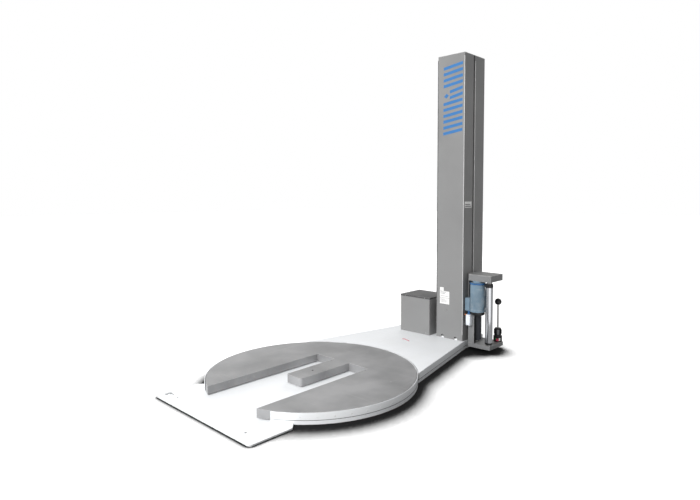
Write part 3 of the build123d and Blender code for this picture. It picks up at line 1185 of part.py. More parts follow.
with BuildPart() as idler_roller:
    upright(IDLER_X, IDLER_Y, ROLLER_BOTTOM + CAP_HEIGHT, IDLER_TOP - CAP_HEIGHT, IDLER_RADIUS)
    upright(
        IDLER_X, IDLER_Y, ROLLER_BOTTOM + CAP_HEIGHT, IDLER_TOP - CAP_HEIGHT, IDLER_RADIUS - IDLER_WALL,
        mode=Mode.SUBTRACT,
    )
save(idler_roller, "idler_roller")

with BuildPart() as idler_ends:
    for cap_low, plug_low in (
        (ROLLER_BOTTOM, ROLLER_BOTTOM + CAP_HEIGHT),
        (IDLER_TOP - CAP_HEIGHT, IDLER_TOP - 2 * CAP_HEIGHT),
    ):
        upright(IDLER_X, IDLER_Y, cap_low, cap_low + CAP_HEIGHT, IDLER_RADIUS + CAP_STEP)
        upright(IDLER_X, IDLER_Y, plug_low, plug_low + CAP_HEIGHT, IDLER_RADIUS - IDLER_WALL - SEAT_FIT)
    chamfer(idler_ends.edges().filter_by(GeomType.CIRCLE).group_by(Axis.Z)[-1], CAP_CHAMFER)
    upright(IDLER_X, IDLER_Y, TRAY_UNDER - SHAFT_END, HOUSING_FLOOR + SHAFT_END, IDLER_SHAFT)
save(idler_ends, "idler_ends")

with BuildPart() as film_brake:
    upright(SPINDLE_X, SPINDLE_Y, TRAY_TOP, TRAY_TOP + BRAKE_HEIGHT, BRAKE_RADIUS)
    fillet(film_brake.faces().sort_by(Axis.Z)[-1].edges(), BRAKE_FILLET)
    upright(
        SPINDLE_X, SPINDLE_Y, TRAY_TOP, TRAY_TOP + BRAKE_HEIGHT, SPINDLE_RADIUS + RUNNING_FIT,
        mode=Mode.SUBTRACT,
    )
save(film_brake, "film_brake")

with BuildPart() as film_spindle:
    upright(SPINDLE_X, SPINDLE_Y, TRAY_BOTTOM + SPINDLE_LIFT, BALL_LEVEL, SPINDLE_RADIUS)
    chamfer(film_spindle.edges().group_by(Axis.Z)[0], SPINDLE_CHAMFER)
save(film_spindle, "film_spindle")

with BuildPart() as core_grips:
    upright(SPINDLE_X, SPINDLE_Y, CORE_BOTTOM, CORE_BOTTOM + CORE_HEIGHT, CORE_RADIUS - CORE_STEP)
    fillet(core_grips.faces().sort_by(Axis.Z)[-1].edges(), BRAKE_FILLET)
    with Locations((SPINDLE_X, SPINDLE_Y, CORE_BOTTOM + CORE_HEIGHT / 2)):
        with PolarLocations(CORE_RADIUS - RIB_DEPTH / 2, CORE_RIBS):
            Box(RIB_DEPTH, RIB_WIDTH, CORE_HEIGHT - 2 * RIB_MARGIN)
    with Locations((SPINDLE_X, SPINDLE_Y, BALL_LEVEL)):
        Sphere(BALL_RADIUS)
    slab(
        SPINDLE_X - BALL_RADIUS, SPINDLE_X + BALL_RADIUS, SPINDLE_Y - BALL_RADIUS, SPINDLE_Y + BALL_RADIUS,
        BALL_LEVEL - BALL_RADIUS, BALL_LEVEL - BALL_RADIUS + BALL_FLAT, mode=Mode.SUBTRACT,
    )
    upright(
        SPINDLE_X, SPINDLE_Y, CORE_BOTTOM, BALL_LEVEL, SPINDLE_RADIUS + SEAT_FIT, mode=Mode.SUBTRACT,
    )
save(core_grips, "core_grips")

# ======== control cabinet, on the column's rear ========

with BuildPart() as control_cabinet:
    slab(CABINET_LEFT, CABINET_RIGHT, COLUMN_REAR, CABINET_REAR, CABINET_BOTTOM, CABINET_TOP)
    slab(
        CABINET_LEFT + CABINET_WALL, CABINET_RIGHT - CABINET_WALL, COLUMN_REAR + CABINET_WALL, CABINET_REAR,
        CABINET_BOTTOM + CABINET_WALL, CABINET_TOP - CABINET_WALL, mode=Mode.SUBTRACT,
    )
    for level in (CABINET_BOTTOM + HINGE_INSET, CABINET_TOP - HINGE_INSET):
        slab(
            HINGE_X - 2, CABINET_LEFT, CABINET_REAR - HINGE_REACH, HINGE_Y - TOUCH_GAP,
            level - HINGE_HEIGHT, level - HINGE_HEIGHT / 2 - KNUCKLE_GAP,
        )
        upright(
            HINGE_X, HINGE_Y, level - HINGE_HEIGHT, level - HINGE_HEIGHT / 2 - KNUCKLE_GAP, HINGE_RADIUS,
        )
        upright(HINGE_X, HINGE_Y, level - HINGE_HEIGHT, level, HINGE_RADIUS / 2)
save(control_cabinet, "control_cabinet")

control_holes = [
    (CABINET_CENTRE - CONTROL_PITCH, PANEL_Z, ESTOP_RADIUS / 2),
    (CABINET_CENTRE, PANEL_Z, BUTTON_RADIUS),
    (CABINET_CENTRE + CONTROL_PITCH, PANEL_Z, BUTTON_RADIUS),
    (CABINET_CENTRE, PANEL_Z - CONTROL_PITCH, KNOB_RADIUS / 2),
    (CABINET_CENTRE, PANEL_Z - 2 * CONTROL_PITCH, SWITCH_RADIUS / 3),
]
with BuildPart() as cabinet_door:
    slab(CABINET_LEFT, CABINET_RIGHT, DOOR_FRONT, DOOR_REAR, CABINET_BOTTOM, CABINET_TOP)
    fillet(cabinet_door.faces().sort_by(Axis.Y)[-1].edges(), DOOR_FILLET)
    slab(
        CABINET_LEFT + CABINET_WALL, CABINET_RIGHT - CABINET_WALL, DOOR_FRONT, DOOR_REAR - CABINET_WALL,
        CABINET_BOTTOM + CABINET_WALL, CABINET_TOP - CABINET_WALL, mode=Mode.SUBTRACT,
    )
    for x, z, radius in control_holes:
        along_y(
            x, DOOR_REAR - CABINET_WALL - CUT_OVER, DOOR_REAR + CUT_OVER, z, radius + BUTTON_FIT,
            mode=Mode.SUBTRACT,
        )
    for level in (CABINET_BOTTOM + HINGE_INSET, CABINET_TOP - HINGE_INSET):
        upright(HINGE_X, HINGE_Y, level - HINGE_HEIGHT / 2, level, HINGE_RADIUS)
        slab(
            HINGE_X, CABINET_LEFT + 4, HINGE_Y + HINGE_RADIUS - HINGE_LEAF - 1, HINGE_Y + HINGE_RADIUS - 1,
            level - HINGE_HEIGHT / 2, level,
        )
        upright(
            HINGE_X, HINGE_Y, level - HINGE_HEIGHT / 2, level, HINGE_RADIUS / 2 + RUNNING_FIT,
            mode=Mode.SUBTRACT,
        )
save(cabinet_door, "cabinet_door")

for label, place, head, length in (
    ("estop_button", control_holes[0], ESTOP_RADIUS, ESTOP_LENGTH),
    ("start_button", control_holes[1], BUTTON_RADIUS + BUTTON_RIM, BUTTON_LENGTH),
    ("stop_button", control_holes[2], BUTTON_RADIUS + BUTTON_RIM, BUTTON_LENGTH),
):
    x, z, stem = place
    with BuildPart() as button:
        along_y(x, COLLAR_FRONT, BUTTON_SEAT, z, stem)
        along_y(x, BUTTON_SEAT, BUTTON_SEAT + length, z, head)
        fillet(button.faces().sort_by(Axis.Y)[-1].edges(), DOOR_FILLET)
        along_y(x, COLLAR_FRONT, COLLAR_REAR, z, stem + COLLAR)
    save(button, label)

with BuildPart() as speed_knob:
    x, z, stem = control_holes[3]
    along_y(x, COLLAR_FRONT, KNOB_SEAT, z, stem)
    along_y(x, KNOB_SEAT, KNOB_SEAT + KNOB_LENGTH, z, KNOB_RADIUS)
    slab(
        x - POINTER / 2, x + POINTER / 2, KNOB_SEAT + KNOB_LENGTH - POINTER,
        KNOB_SEAT + KNOB_LENGTH + POINTER / 2, z, z + KNOB_RADIUS,
    )
    along_y(x, COLLAR_FRONT, COLLAR_REAR, z, stem + COLLAR)
save(speed_knob, "speed_knob")

with BuildPart() as main_switch:
    x, z, stem = control_holes[4]
    along_y(x, COLLAR_FRONT, KNOB_SEAT, z, stem)
    along_y(x, KNOB_SEAT, KNOB_SEAT + SWITCH_BASE, z, SWITCH_RADIUS)
    slab(
        x - SWITCH_GRIP / 2, x + SWITCH_GRIP / 2, KNOB_SEAT + SWITCH_BASE, KNOB_SEAT + SWITCH_LENGTH,
        z - SWITCH_RADIUS + 2, z + SWITCH_RADIUS - 2,
    )
    along_y(x, COLLAR_FRONT, COLLAR_REAR, z, stem + COLLAR)
save(main_switch, "main_switch")

with BuildPart() as cabinet_electrics:
    plate_y = COLUMN_REAR + CABINET_WALL
    slab(
        CABINET_LEFT + 20, CABINET_RIGHT - 20, plate_y, plate_y + 3, CABINET_BOTTOM + 25, CABINET_TOP - 25,
    )
    for unit_x in (CABINET_LEFT + 35, CABINET_LEFT + 130):
        slab(unit_x, unit_x + 85, plate_y + 3, plate_y + 115, CABINET_BOTTOM + 60, CABINET_BOTTOM + 210)
    slab(
        CABINET_LEFT + 35, CABINET_RIGHT - 40, plate_y + 3, plate_y + 60, CABINET_BOTTOM + 260,
        CABINET_BOTTOM + 330,
    )
    slab(
        CABINET_LEFT + 35, CABINET_RIGHT - 40, plate_y + 3, plate_y + 45, CABINET_BOTTOM + 400,
        CABINET_BOTTOM + 440,
    )
save(cabinet_electrics, "cabinet_electrics")
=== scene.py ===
"""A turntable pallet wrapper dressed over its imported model: paints, metals, fastenings, labels and fittings.

All sizes are in metres, and angles in degrees.
"""
import json
import math

import bmesh
import bpy
from mathutils import Matrix, Vector


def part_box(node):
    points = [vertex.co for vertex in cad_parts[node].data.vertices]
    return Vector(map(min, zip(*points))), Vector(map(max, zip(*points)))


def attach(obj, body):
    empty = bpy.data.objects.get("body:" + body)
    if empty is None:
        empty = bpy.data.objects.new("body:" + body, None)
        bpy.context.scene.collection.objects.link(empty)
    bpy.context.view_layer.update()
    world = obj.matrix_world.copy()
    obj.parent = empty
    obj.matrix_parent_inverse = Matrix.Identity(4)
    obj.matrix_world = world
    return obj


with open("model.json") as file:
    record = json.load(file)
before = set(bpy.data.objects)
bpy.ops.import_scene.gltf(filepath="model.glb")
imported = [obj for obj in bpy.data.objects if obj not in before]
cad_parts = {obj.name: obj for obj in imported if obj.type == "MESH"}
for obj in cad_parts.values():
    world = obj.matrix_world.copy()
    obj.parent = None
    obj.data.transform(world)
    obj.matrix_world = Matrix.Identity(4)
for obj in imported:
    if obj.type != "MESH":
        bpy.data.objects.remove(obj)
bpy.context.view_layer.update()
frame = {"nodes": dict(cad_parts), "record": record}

# ---------------------------------------------------------------- node helpers


def srgb(red, green, blue):
    """A paint shade given as 0 to 255, as the linear colour a shader takes."""
    def linear(shade):
        shade = shade / 255
        return shade / 12.92 if shade <= 0.04045 else ((shade + 0.055) / 1.055) ** 2.4
    return (linear(red), linear(green), linear(blue), 1.0)


def tone(colour, factor):
    """The same colour, lighter or darker."""
    return tuple(min(1.0, part * factor) for part in colour[:3]) + (1.0,)


def add(tree, kind, values=(), **settings):
    """One node in a tree: its settings, then the plain values or links of its inputs."""
    node = tree.nodes.new(kind)
    for name, value in settings.items():
        setattr(node, name, value)
    for socket, value in dict(values).items():
        if isinstance(value, bpy.types.NodeSocket):
            tree.links.new(value, node.inputs[socket])
        else:
            node.inputs[socket].default_value = value
    return node


def maths(tree, operation, first, second=0.0):
    """The result of one sum on two values."""
    return add(tree, "ShaderNodeMath", {0: first, 1: second}, operation=operation).outputs[0]


def mix(tree, factor, first, second):
    """Two colours mixed by a mask."""
    return add(tree, "ShaderNodeMix", {0: factor, 6: first, 7: second}, data_type="RGBA").outputs[2]


def spread(tree, value, low, high, to_low=0.0, to_high=1.0):
    """A value stretched from one range to another, and held inside it."""
    return add(tree, "ShaderNodeMapRange", {"Value": value, "From Min": low, "From Max": high,
                                            "To Min": to_low, "To Max": to_high}).outputs["Result"]


def noise(tree, scale, detail=3.0, stretch=(1, 1, 1), turn=(0, 0, 0)):
    """Soft noise over the piece's own coordinates, stretched along an axis where wanted."""
    where = add(tree, "ShaderNodeTexCoord").outputs["Object"]
    if tuple(stretch) != (1, 1, 1) or any(turn):
        where = add(tree, "ShaderNodeMapping",
                    {"Vector": where, "Scale": stretch, "Rotation": turn}).outputs[0]
    return add(tree, "ShaderNodeTexNoise", {"Vector": where, "Scale": scale, "Detail": detail}).outputs["Fac"]


def shader_group(name, inputs, outputs):
    """An empty shader group with named inputs and outputs."""
    tree = bpy.data.node_groups.new(name, "ShaderNodeTree")
    for label, value in inputs.items():
        tree.interface.new_socket(label, in_out="INPUT", socket_type="NodeSocketFloat").default_value = value
    for label in outputs:
        tree.interface.new_socket(label, in_out="OUTPUT", socket_type="NodeSocketFloat")
    return tree, tree.nodes.new("NodeGroupInput").outputs, tree.nodes.new("NodeGroupOutput").inputs


def placed(tree, group, **values):
    """A shader group placed in a material, with that material's own values."""
    node = add(tree, "ShaderNodeGroup", node_tree=group)
    for label, value in values.items():
        node.inputs[label].default_value = value
    return node.outputs


# ---------------------------------------------------------------- shader groups


def edge_wear_group():
    """Where edges and corners are rubbed through."""
    tree, given, out = shader_group("edge_wear", {"Width": 0.004, "Amount": 0.5, "Patch": 18.0}, ["Mask"])
    rounded = add(tree, "ShaderNodeBevel", {"Radius": given["Width"]}, samples=4).outputs["Normal"]
    flat = add(tree, "ShaderNodeNewGeometry").outputs["Normal"]
    facing = add(tree, "ShaderNodeVectorMath", {0: rounded, 1: flat},
                 operation="DOT_PRODUCT").outputs["Value"]
    edge = spread(tree, facing, 0.995, 0.9)  # where the surface turns by 6 to 26 degrees
    amount = maths(tree, "MULTIPLY", given["Amount"], 0.35)
    patches = maths(tree, "ADD", noise(tree, given["Patch"], 4.0), amount)
    tree.links.new(maths(tree, "MULTIPLY", edge, spread(tree, patches, 0.55, 0.7)), out["Mask"])
    return tree


def sprayed_group():
    """Sprayed paint: soft clouds of shade, and the fine skin that paint dries with."""
    tree, given, out = shader_group("sprayed_paint", {"Cloud Size": 1.5, "Grain Size": 420.0},
                                    ["Clouds", "Skin"])
    for label, scale, detail in (("Clouds", "Cloud Size", 3.0), ("Skin", "Grain Size", 2.0)):
        tree.links.new(spread(tree, noise(tree, given[scale], detail), 0.3, 0.7), out[label])
    return tree


def dust_group():
    """Dust that settles on faces that look up."""
    tree, given, out = shader_group("settled_dust", {"Amount": 0.2, "Patch": 6.0}, ["Mask"])
    normal = add(tree, "ShaderNodeTexCoord").outputs["Normal"]
    up = add(tree, "ShaderNodeSeparateXYZ", {0: normal}).outputs["Z"]
    patch = spread(tree, noise(tree, given["Patch"], 5.0), 0.4, 0.7)
    lying = maths(tree, "MULTIPLY", spread(tree, up, 0.6, 0.95), patch)
    tree.links.new(maths(tree, "MULTIPLY", lying, given["Amount"]), out["Mask"])
    return tree


def scuff_group():
    """Fine straight scratches, in two crossing directions."""
    tree, given, out = shader_group("scuffs", {"Amount": 0.3, "Fineness": 30.0}, ["Mask"])
    both = 0.0
    for stretch, turn in (((0.05, 1, 1), 0.4), ((1, 0.06, 1), 0.9)):
        line = noise(tree, given["Fineness"], 5.0, stretch, (0, 0, turn))
        both = maths(tree, "MAXIMUM", spread(tree, line, 0.62, 0.72), both)
    tree.links.new(maths(tree, "MULTIPLY", both, given["Amount"]), out["Mask"])
    return tree


WEAR, SPRAY, DUST, SCUFFS = edge_wear_group(), sprayed_group(), dust_group(), scuff_group()

# ---------------------------------------------------------------- finishes


FINISH = {}
PAINT_DUST, PLASTIC_DUST = srgb(196, 192, 184), srgb(170, 167, 160)
PAINT_SKIN, METAL_LINES, MOULDED_GRAIN = 0.00025, 0.0001, 0.0003  # how deep each one's bumps are


def new_finish(name, **plain):
    """A new material among the finishes; plain numbers go on the shader's own sockets, with _ for a space."""
    material = FINISH[name] = bpy.data.materials.new(name)
    material.use_nodes = True
    shader = material.node_tree.nodes["Principled BSDF"]
    for socket, value in plain.items():
        shader.inputs[socket.replace("_", " ")].default_value = value
    return material.node_tree, shader.inputs


def bumped(tree, height, depth):
    """A normal from a height, with its depth."""
    values = {"Height": height, "Strength": 0.6, "Distance": depth}
    return add(tree, "ShaderNodeBump", values).outputs["Normal"]


def painted(name, colour, under, mottle=0.1, wear=0.5, dust=0.2, rough=0.42, cloud=1.5, scuffs=0.0, **plain):
    """Painted metal: a shade that drifts, edges rubbed to what is under it, dust, and a paint skin."""
    tree, shader = new_finish(name, **plain)
    colour, under = srgb(*colour), srgb(*under)
    spray = placed(tree, SPRAY, **{"Cloud Size": cloud})
    worn = placed(tree, WEAR, Amount=wear)["Mask"]
    dusty = placed(tree, DUST, Amount=dust)["Mask"]
    shade = mix(tree, spray["Clouds"], tone(colour, 1 - mottle), tone(colour, 1 + mottle))
    if scuffs:
        shade = mix(tree, placed(tree, SCUFFS, Amount=scuffs)["Mask"], shade, tone(under, 0.8))
    shade = mix(tree, dusty, shade, PAINT_DUST)
    tree.links.new(mix(tree, worn, shade, under), shader["Base Color"])
    sheen = spread(tree, spray["Clouds"], 0, 1, rough - 0.05, rough + 0.07)
    duller = maths(tree, "MULTIPLY", dusty, 0.4)
    tree.links.new(maths(tree, "ADD", sheen, duller), shader["Roughness"])
    tree.links.new(bumped(tree, spray["Skin"], PAINT_SKIN), shader["Normal"])


def bare_metal(name, colour, rough, streak):
    """Bare metal with the fine lines left by turning or rolling, drawn out by streak."""
    tree, shader = new_finish(name, Metallic=1.0)
    colour = srgb(*colour)
    lines = noise(tree, 60.0, 4.0, (1, 1, streak))
    worn = placed(tree, WEAR, Amount=0.9, Width=0.0015)["Mask"]
    shade = mix(tree, lines, tone(colour, 0.82), tone(colour, 1.12))
    tree.links.new(mix(tree, worn, shade, tone(colour, 1.35)), shader["Base Color"])
    tree.links.new(spread(tree, lines, 0.2, 0.8, rough * 0.75, rough * 1.3), shader["Roughness"])
    tree.links.new(bumped(tree, lines, METAL_LINES), shader["Normal"])


def polished_roller():
    """Polished roller tube: almost a mirror, with faint rings from grinding."""
    tree, shader = new_finish("chrome_roller", Metallic=1.0)
    rings = noise(tree, 40.0, 3.0, (0.2, 0.2, 16))
    tree.links.new(mix(tree, rings, srgb(176, 178, 182), srgb(214, 215, 218)), shader["Base Color"])
    tree.links.new(spread(tree, rings, 0.3, 0.7, 0.07, 0.15), shader["Roughness"])


def moulded(name, colour, rough, mottle=0.08):
    """Moulded plastic or rubber: fine grain, a slight bloom and softened edges."""
    tree, shader = new_finish(name)
    colour = srgb(*colour)
    spray = placed(tree, SPRAY, **{"Cloud Size": 9.0, "Grain Size": 500.0})
    worn = placed(tree, WEAR, Amount=0.6, Width=0.002)["Mask"]
    dusty = placed(tree, DUST, Amount=0.08)["Mask"]
    shade = mix(tree, spray["Clouds"], tone(colour, 1 - mottle), tone(colour, 1 + mottle))
    shade = mix(tree, dusty, shade, PLASTIC_DUST)
    tree.links.new(mix(tree, worn, shade, tone(colour, 1.7)), shader["Base Color"])
    tree.links.new(spread(tree, spray["Skin"], 0, 1, rough - 0.05, rough + 0.08), shader["Roughness"])
    tree.links.new(bumped(tree, spray["Skin"], MOULDED_GRAIN), shader["Normal"])


# Paints: the shade, then what shows where it is rubbed through
painted("base_white", (243, 245, 247), (205, 205, 204), mottle=0.015, wear=0.35, dust=0.08, scuffs=0.06,
        Specular_IOR_Level=0.3)
painted("table_grey", (160, 160, 161), (206, 206, 206), mottle=0.27, wear=0.75, dust=0.06, rough=0.38,
        cloud=3.0, scuffs=0.3, Metallic=0.4)
painted("machine_grey", (143, 143, 143), (186, 186, 184), mottle=0.13, wear=0.45, dust=0.15, rough=0.4,
        cloud=1.1, Metallic=0.15)
# A dark grey; on the drive cover's lid it is painted shade for the cover's top
painted("lid_grey", (88, 88, 89), (170, 170, 168), mottle=0.08, dust=0.1, rough=0.36, cloud=3.0, Metallic=0.2)
# A pale grey that is painted highlight, for the lines of light along the column's edges
painted("painted_highlight_grey", (214, 214, 214), (226, 226, 224), mottle=0.06, wear=0.6, dust=0.1, rough=0.36, cloud=4.0)
painted("carriage_grey", (134, 135, 136), (190, 190, 188), mottle=0.09, wear=0.6, rough=0.4, cloud=3.0,
        Metallic=0.15)
painted("motor_blue", (114, 136, 152), (160, 170, 176), mottle=0.12, wear=0.4, rough=0.36, cloud=7.0)
painted("flange_blue", (44, 92, 140), (120, 140, 160), mottle=0.12, wear=0.3, dust=0.1, rough=0.34)
painted("graphic_blue", (62, 118, 176), (110, 150, 195), mottle=0.05, wear=0.2, dust=0.0, rough=0.5)
bare_metal("steel", (188, 188, 186), 0.3, 14)
bare_metal("bronze", (176, 136, 84), 0.34, 10)
polished_roller()
moulded("nylon", (222, 220, 210), 0.45)
moulded("wheel_rubber", (46, 46, 48), 0.6)
moulded("film_rubber", (62, 65, 72), 0.45)
moulded("belt_rubber", (34, 34, 35), 0.6)
moulded("black_plastic", (24, 24, 26), 0.32)
moulded("white_plastic", (232, 236, 242), 0.4, 0.02)
moulded("button_red", (190, 24, 26), 0.28)
moulded("button_green", (28, 140, 64), 0.28)
moulded("label_white", (238, 238, 236), 0.5, 0.02)
moulded("label_red", (206, 66, 92), 0.5)
moulded("label_yellow", (226, 186, 40), 0.5)
moulded("print_grey", (120, 120, 124), 0.5)
moulded("sensor_orange", (186, 112, 62), 0.4)

# The column's foot is painted with the base that it is bolted to
REPAINTED = {"column_foot": "base_white"}
for entry in frame["record"]["subparts"]:
    mesh = frame["nodes"][entry["node"]].data
    mesh.materials.clear()
    mesh.materials.append(FINISH[REPAINTED.get(entry["node"], entry["material_slot"])])

# ---------------------------------------------------------------- shape helpers

UP, DOWN, FRONT, BACK, LEFT, RIGHT = (0, 0, 1), (0, 0, -1), (0, -1, 0), (0, 1, 0), (-1, 0, 0), (1, 0, 0)
SMOOTH_BELOW = 32  # edges that turn less than this are shaded smooth


def middle(node):
    """The middle of a node's box."""
    low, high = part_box(node)
    return (low + high) / 2


def half_width(node):
    """Half of a node's width, which is a round one's radius."""
    low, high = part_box(node)
    return (high.x - low.x) / 2


def keep(name, mesh, body, finish, smooth=SMOOTH_BELOW):
    """A finished mesh as a piece of the machine, riding on its body."""
    if not mesh.materials:
        mesh.materials.append(FINISH[finish])
    mesh.shade_smooth()
    mesh.set_sharp_from_angle(angle=math.radians(smooth))
    thing = bpy.data.objects.new(name, mesh)
    bpy.context.scene.collection.objects.link(thing)
    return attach(thing, body)


def shaped(name, shape, body, finish, smooth=SMOOTH_BELOW):
    """A worked shape, cleaned up and kept as a piece."""
    bmesh.ops.remove_doubles(shape, verts=shape.verts, dist=1e-6)
    bmesh.ops.recalc_face_normals(shape, faces=shape.faces)
    mesh = bpy.data.meshes.new(name)
    shape.to_mesh(mesh)
    shape.free()
    return keep(name, mesh, body, finish, smooth)


def prism(shape, outline, low, high, axis, soft=0.0):
    """Adds an outline drawn out along an axis; its points are in the order of the other two axes."""
    def point(first, second, along):
        return {"x": (along, first, second), "y": (first, along, second), "z": (first, second, along)}[axis]
    ends = [[shape.verts.new(point(a, b, at)) for a, b in outline] for at in (low, high)]
    faces = [shape.faces.new(ends[0]), shape.faces.new(ends[1])]
    for i in range(len(outline)):
        j = (i + 1) % len(outline)
        faces.append(shape.faces.new((ends[0][i], ends[0][j], ends[1][j], ends[1][i])))
    bmesh.ops.recalc_face_normals(shape, faces=faces)
    if soft:
        edges = {edge for face in faces for edge in face.edges}
        bmesh.ops.bevel(shape, geom=list(edges), offset=soft, segments=2, affect="EDGES", profile=0.6)


def panel(shape, corners, low, high, axis, soft=0.0):
    """Adds a rectangle drawn out along an axis, from where it starts and ends along the other two axes."""
    start, end, foot, head = corners
    prism(shape, [(start, foot), (end, foot), (end, head), (start, head)], low, high, axis, soft)


def block(shape, low, high, soft=0.001):
    """Adds a softened block between two corners."""
    panel(shape, (low[0], high[0], low[1], high[1]), low[2], high[2], "z", soft)


def circle(shape, radius, along, centre, axis, steps):
    """Adds one ring of points round an axis through a centre, or one point where it has no radius."""
    ring = []
    for i in range(steps if radius > 1e-6 else 1):
        a, b = radius * math.cos(math.tau * i / steps), radius * math.sin(math.tau * i / steps)
        offset = {"z": (a, b, along), "y": (a, along, b), "x": (along, a, b)}[axis]
        ring.append(shape.verts.new(Vector(centre) + Vector(offset)))
    return ring


def skin(shape, rings):
    """Joins each ring of points to the next with faces."""
    for low, high in zip(rings, rings[1:]):
        for i in range(max(len(low), len(high))):
            j = i + 1
            corners = [low[i % len(low)], low[j % len(low)], high[j % len(high)], high[i % len(high)]]
            shape.faces.new(list(dict.fromkeys(corners)))


def turned(shape, profile, centre, axis="z", steps=40):
    """Adds a turned part: (radius, height) points round an axis through a centre, closed at both ends."""
    rings = [circle(shape, radius, along, centre, axis, steps) for radius, along in profile]
    for ring in (rings[0], rings[-1]):
        if len(ring) > 1:
            shape.faces.new(ring)
    skin(shape, rings)


def collar(shape, inner, outer, low, high, centre, axis="z", steps=48, soft=0.001):
    """Adds a turned ring with softened rims."""
    profile = [(inner, low), (outer - soft, low), (outer, low + soft), (outer, high - soft),
               (outer - soft, high), (inner, high), (inner, low)]
    skin(shape, [circle(shape, radius, along, centre, axis, steps) for radius, along in profile])


# ---------------------------------------------------------------- trees for what repeats


def geometry_tree(name, inputs):
    """An empty Geometry Nodes tree with named inputs: label to (kind, value)."""
    tree = bpy.data.node_groups.new(name, "GeometryNodeTree")
    tree.interface.new_socket("Geometry", in_out="INPUT", socket_type="NodeSocketGeometry")
    for label, (kind, value) in inputs.items():
        socket = tree.interface.new_socket(label, in_out="INPUT", socket_type="NodeSocket" + kind)
        if value is not None:
            socket.default_value = value
    tree.interface.new_socket("Geometry", in_out="OUTPUT", socket_type="NodeSocketGeometry")
    return tree, tree.nodes.new("NodeGroupInput").outputs, tree.nodes.new("NodeGroupOutput").inputs


def marked(tree, label):
    """A direction that is marked on each place."""
    return add(tree, "GeometryNodeInputNamedAttribute", {"Name": label}, data_type="FLOAT_VECTOR").outputs[0]


def end_tree(tree, given, out, part, rotation):
    """Ends a tree: the part set on every marked place, made real, and given its finish."""
    parts = add(tree, "GeometryNodeInstanceOnPoints", {
        "Points": given["Geometry"], "Instance": part, "Rotation": rotation}).outputs[0]
    real = add(tree, "GeometryNodeRealizeInstances", {"Geometry": parts}).outputs[0]
    done = add(tree, "GeometryNodeSetMaterial", {"Geometry": real, "Material": given["Finish"]}).outputs[0]
    tree.links.new(done, out["Geometry"])


def fastener_tree():
    """Bolt or screw heads on marked places: each a head with a recess, on a washer, turned its own way."""
    tree, given, out = geometry_tree("fasteners", {
        "Sides": ("Int", 6), "Head Radius": ("Float", 0.008), "Head Height": ("Float", 0.006),
        "Top Share": ("Float", 0.88), "Recess Share": ("Float", 0.5), "Recess Depth": ("Float", 0.001),
        "Washer Radius": ("Float", 0.011), "Washer Height": ("Float", 0.0015), "Seed": ("Int", 3),
        "Finish": ("Material", None)})
    narrow = maths(tree, "MULTIPLY", given["Head Radius"], given["Top Share"])
    head = add(tree, "GeometryNodeMeshCone", {
        "Vertices": given["Sides"], "Radius Top": narrow, "Radius Bottom": given["Head Radius"],
        "Depth": given["Head Height"]}).outputs["Mesh"]
    up = add(tree, "ShaderNodeSeparateXYZ", {0: add(tree, "GeometryNodeInputNormal").outputs[0]}).outputs["Z"]
    top = add(tree, "FunctionNodeCompare", {0: up, 1: 0.9}, data_type="FLOAT",
              operation="GREATER_THAN").outputs[0]
    inset = add(tree, "GeometryNodeExtrudeMesh", {"Mesh": head, "Selection": top, "Offset Scale": 0.0},
                mode="FACES").outputs
    closer = add(tree, "GeometryNodeScaleElements", {
        "Geometry": inset["Mesh"], "Selection": inset["Top"], "Scale": given["Recess Share"]}).outputs[0]
    down = maths(tree, "MULTIPLY", given["Recess Depth"], -1.0)
    sunk = add(tree, "GeometryNodeExtrudeMesh", {
        "Mesh": closer, "Selection": inset["Top"], "Offset Scale": down}, mode="FACES").outputs["Mesh"]
    lift = add(tree, "ShaderNodeCombineXYZ", {"Z": given["Washer Height"]}).outputs[0]
    raised = add(tree, "GeometryNodeTransform", {"Geometry": sunk, "Translation": lift}).outputs[0]
    washer = add(tree, "GeometryNodeMeshCone", {
        "Vertices": 20, "Radius Top": given["Washer Radius"], "Radius Bottom": given["Washer Radius"],
        "Depth": given["Washer Height"]}).outputs["Mesh"]
    both = add(tree, "GeometryNodeJoinGeometry")
    tree.links.new(raised, both.inputs[0])
    tree.links.new(washer, both.inputs[0])
    facing = marked(tree, "facing")
    aim = add(tree, "FunctionNodeAlignRotationToVector", {"Vector": facing}, axis="Z").outputs[0]
    chance = add(tree, "FunctionNodeRandomValue", {2: 0.0, 3: math.tau, "Seed": given["Seed"]},
                 data_type="FLOAT").outputs[1]
    turn = add(tree, "FunctionNodeAxisAngleToRotation", {"Axis": (0, 0, 1), "Angle": chance}).outputs[0]
    aimed = add(tree, "FunctionNodeRotateRotation", {"Rotation": aim, "Rotate By": turn},
                rotation_space="LOCAL").outputs[0]
    end_tree(tree, given, out, both.outputs[0], aimed)
    return tree


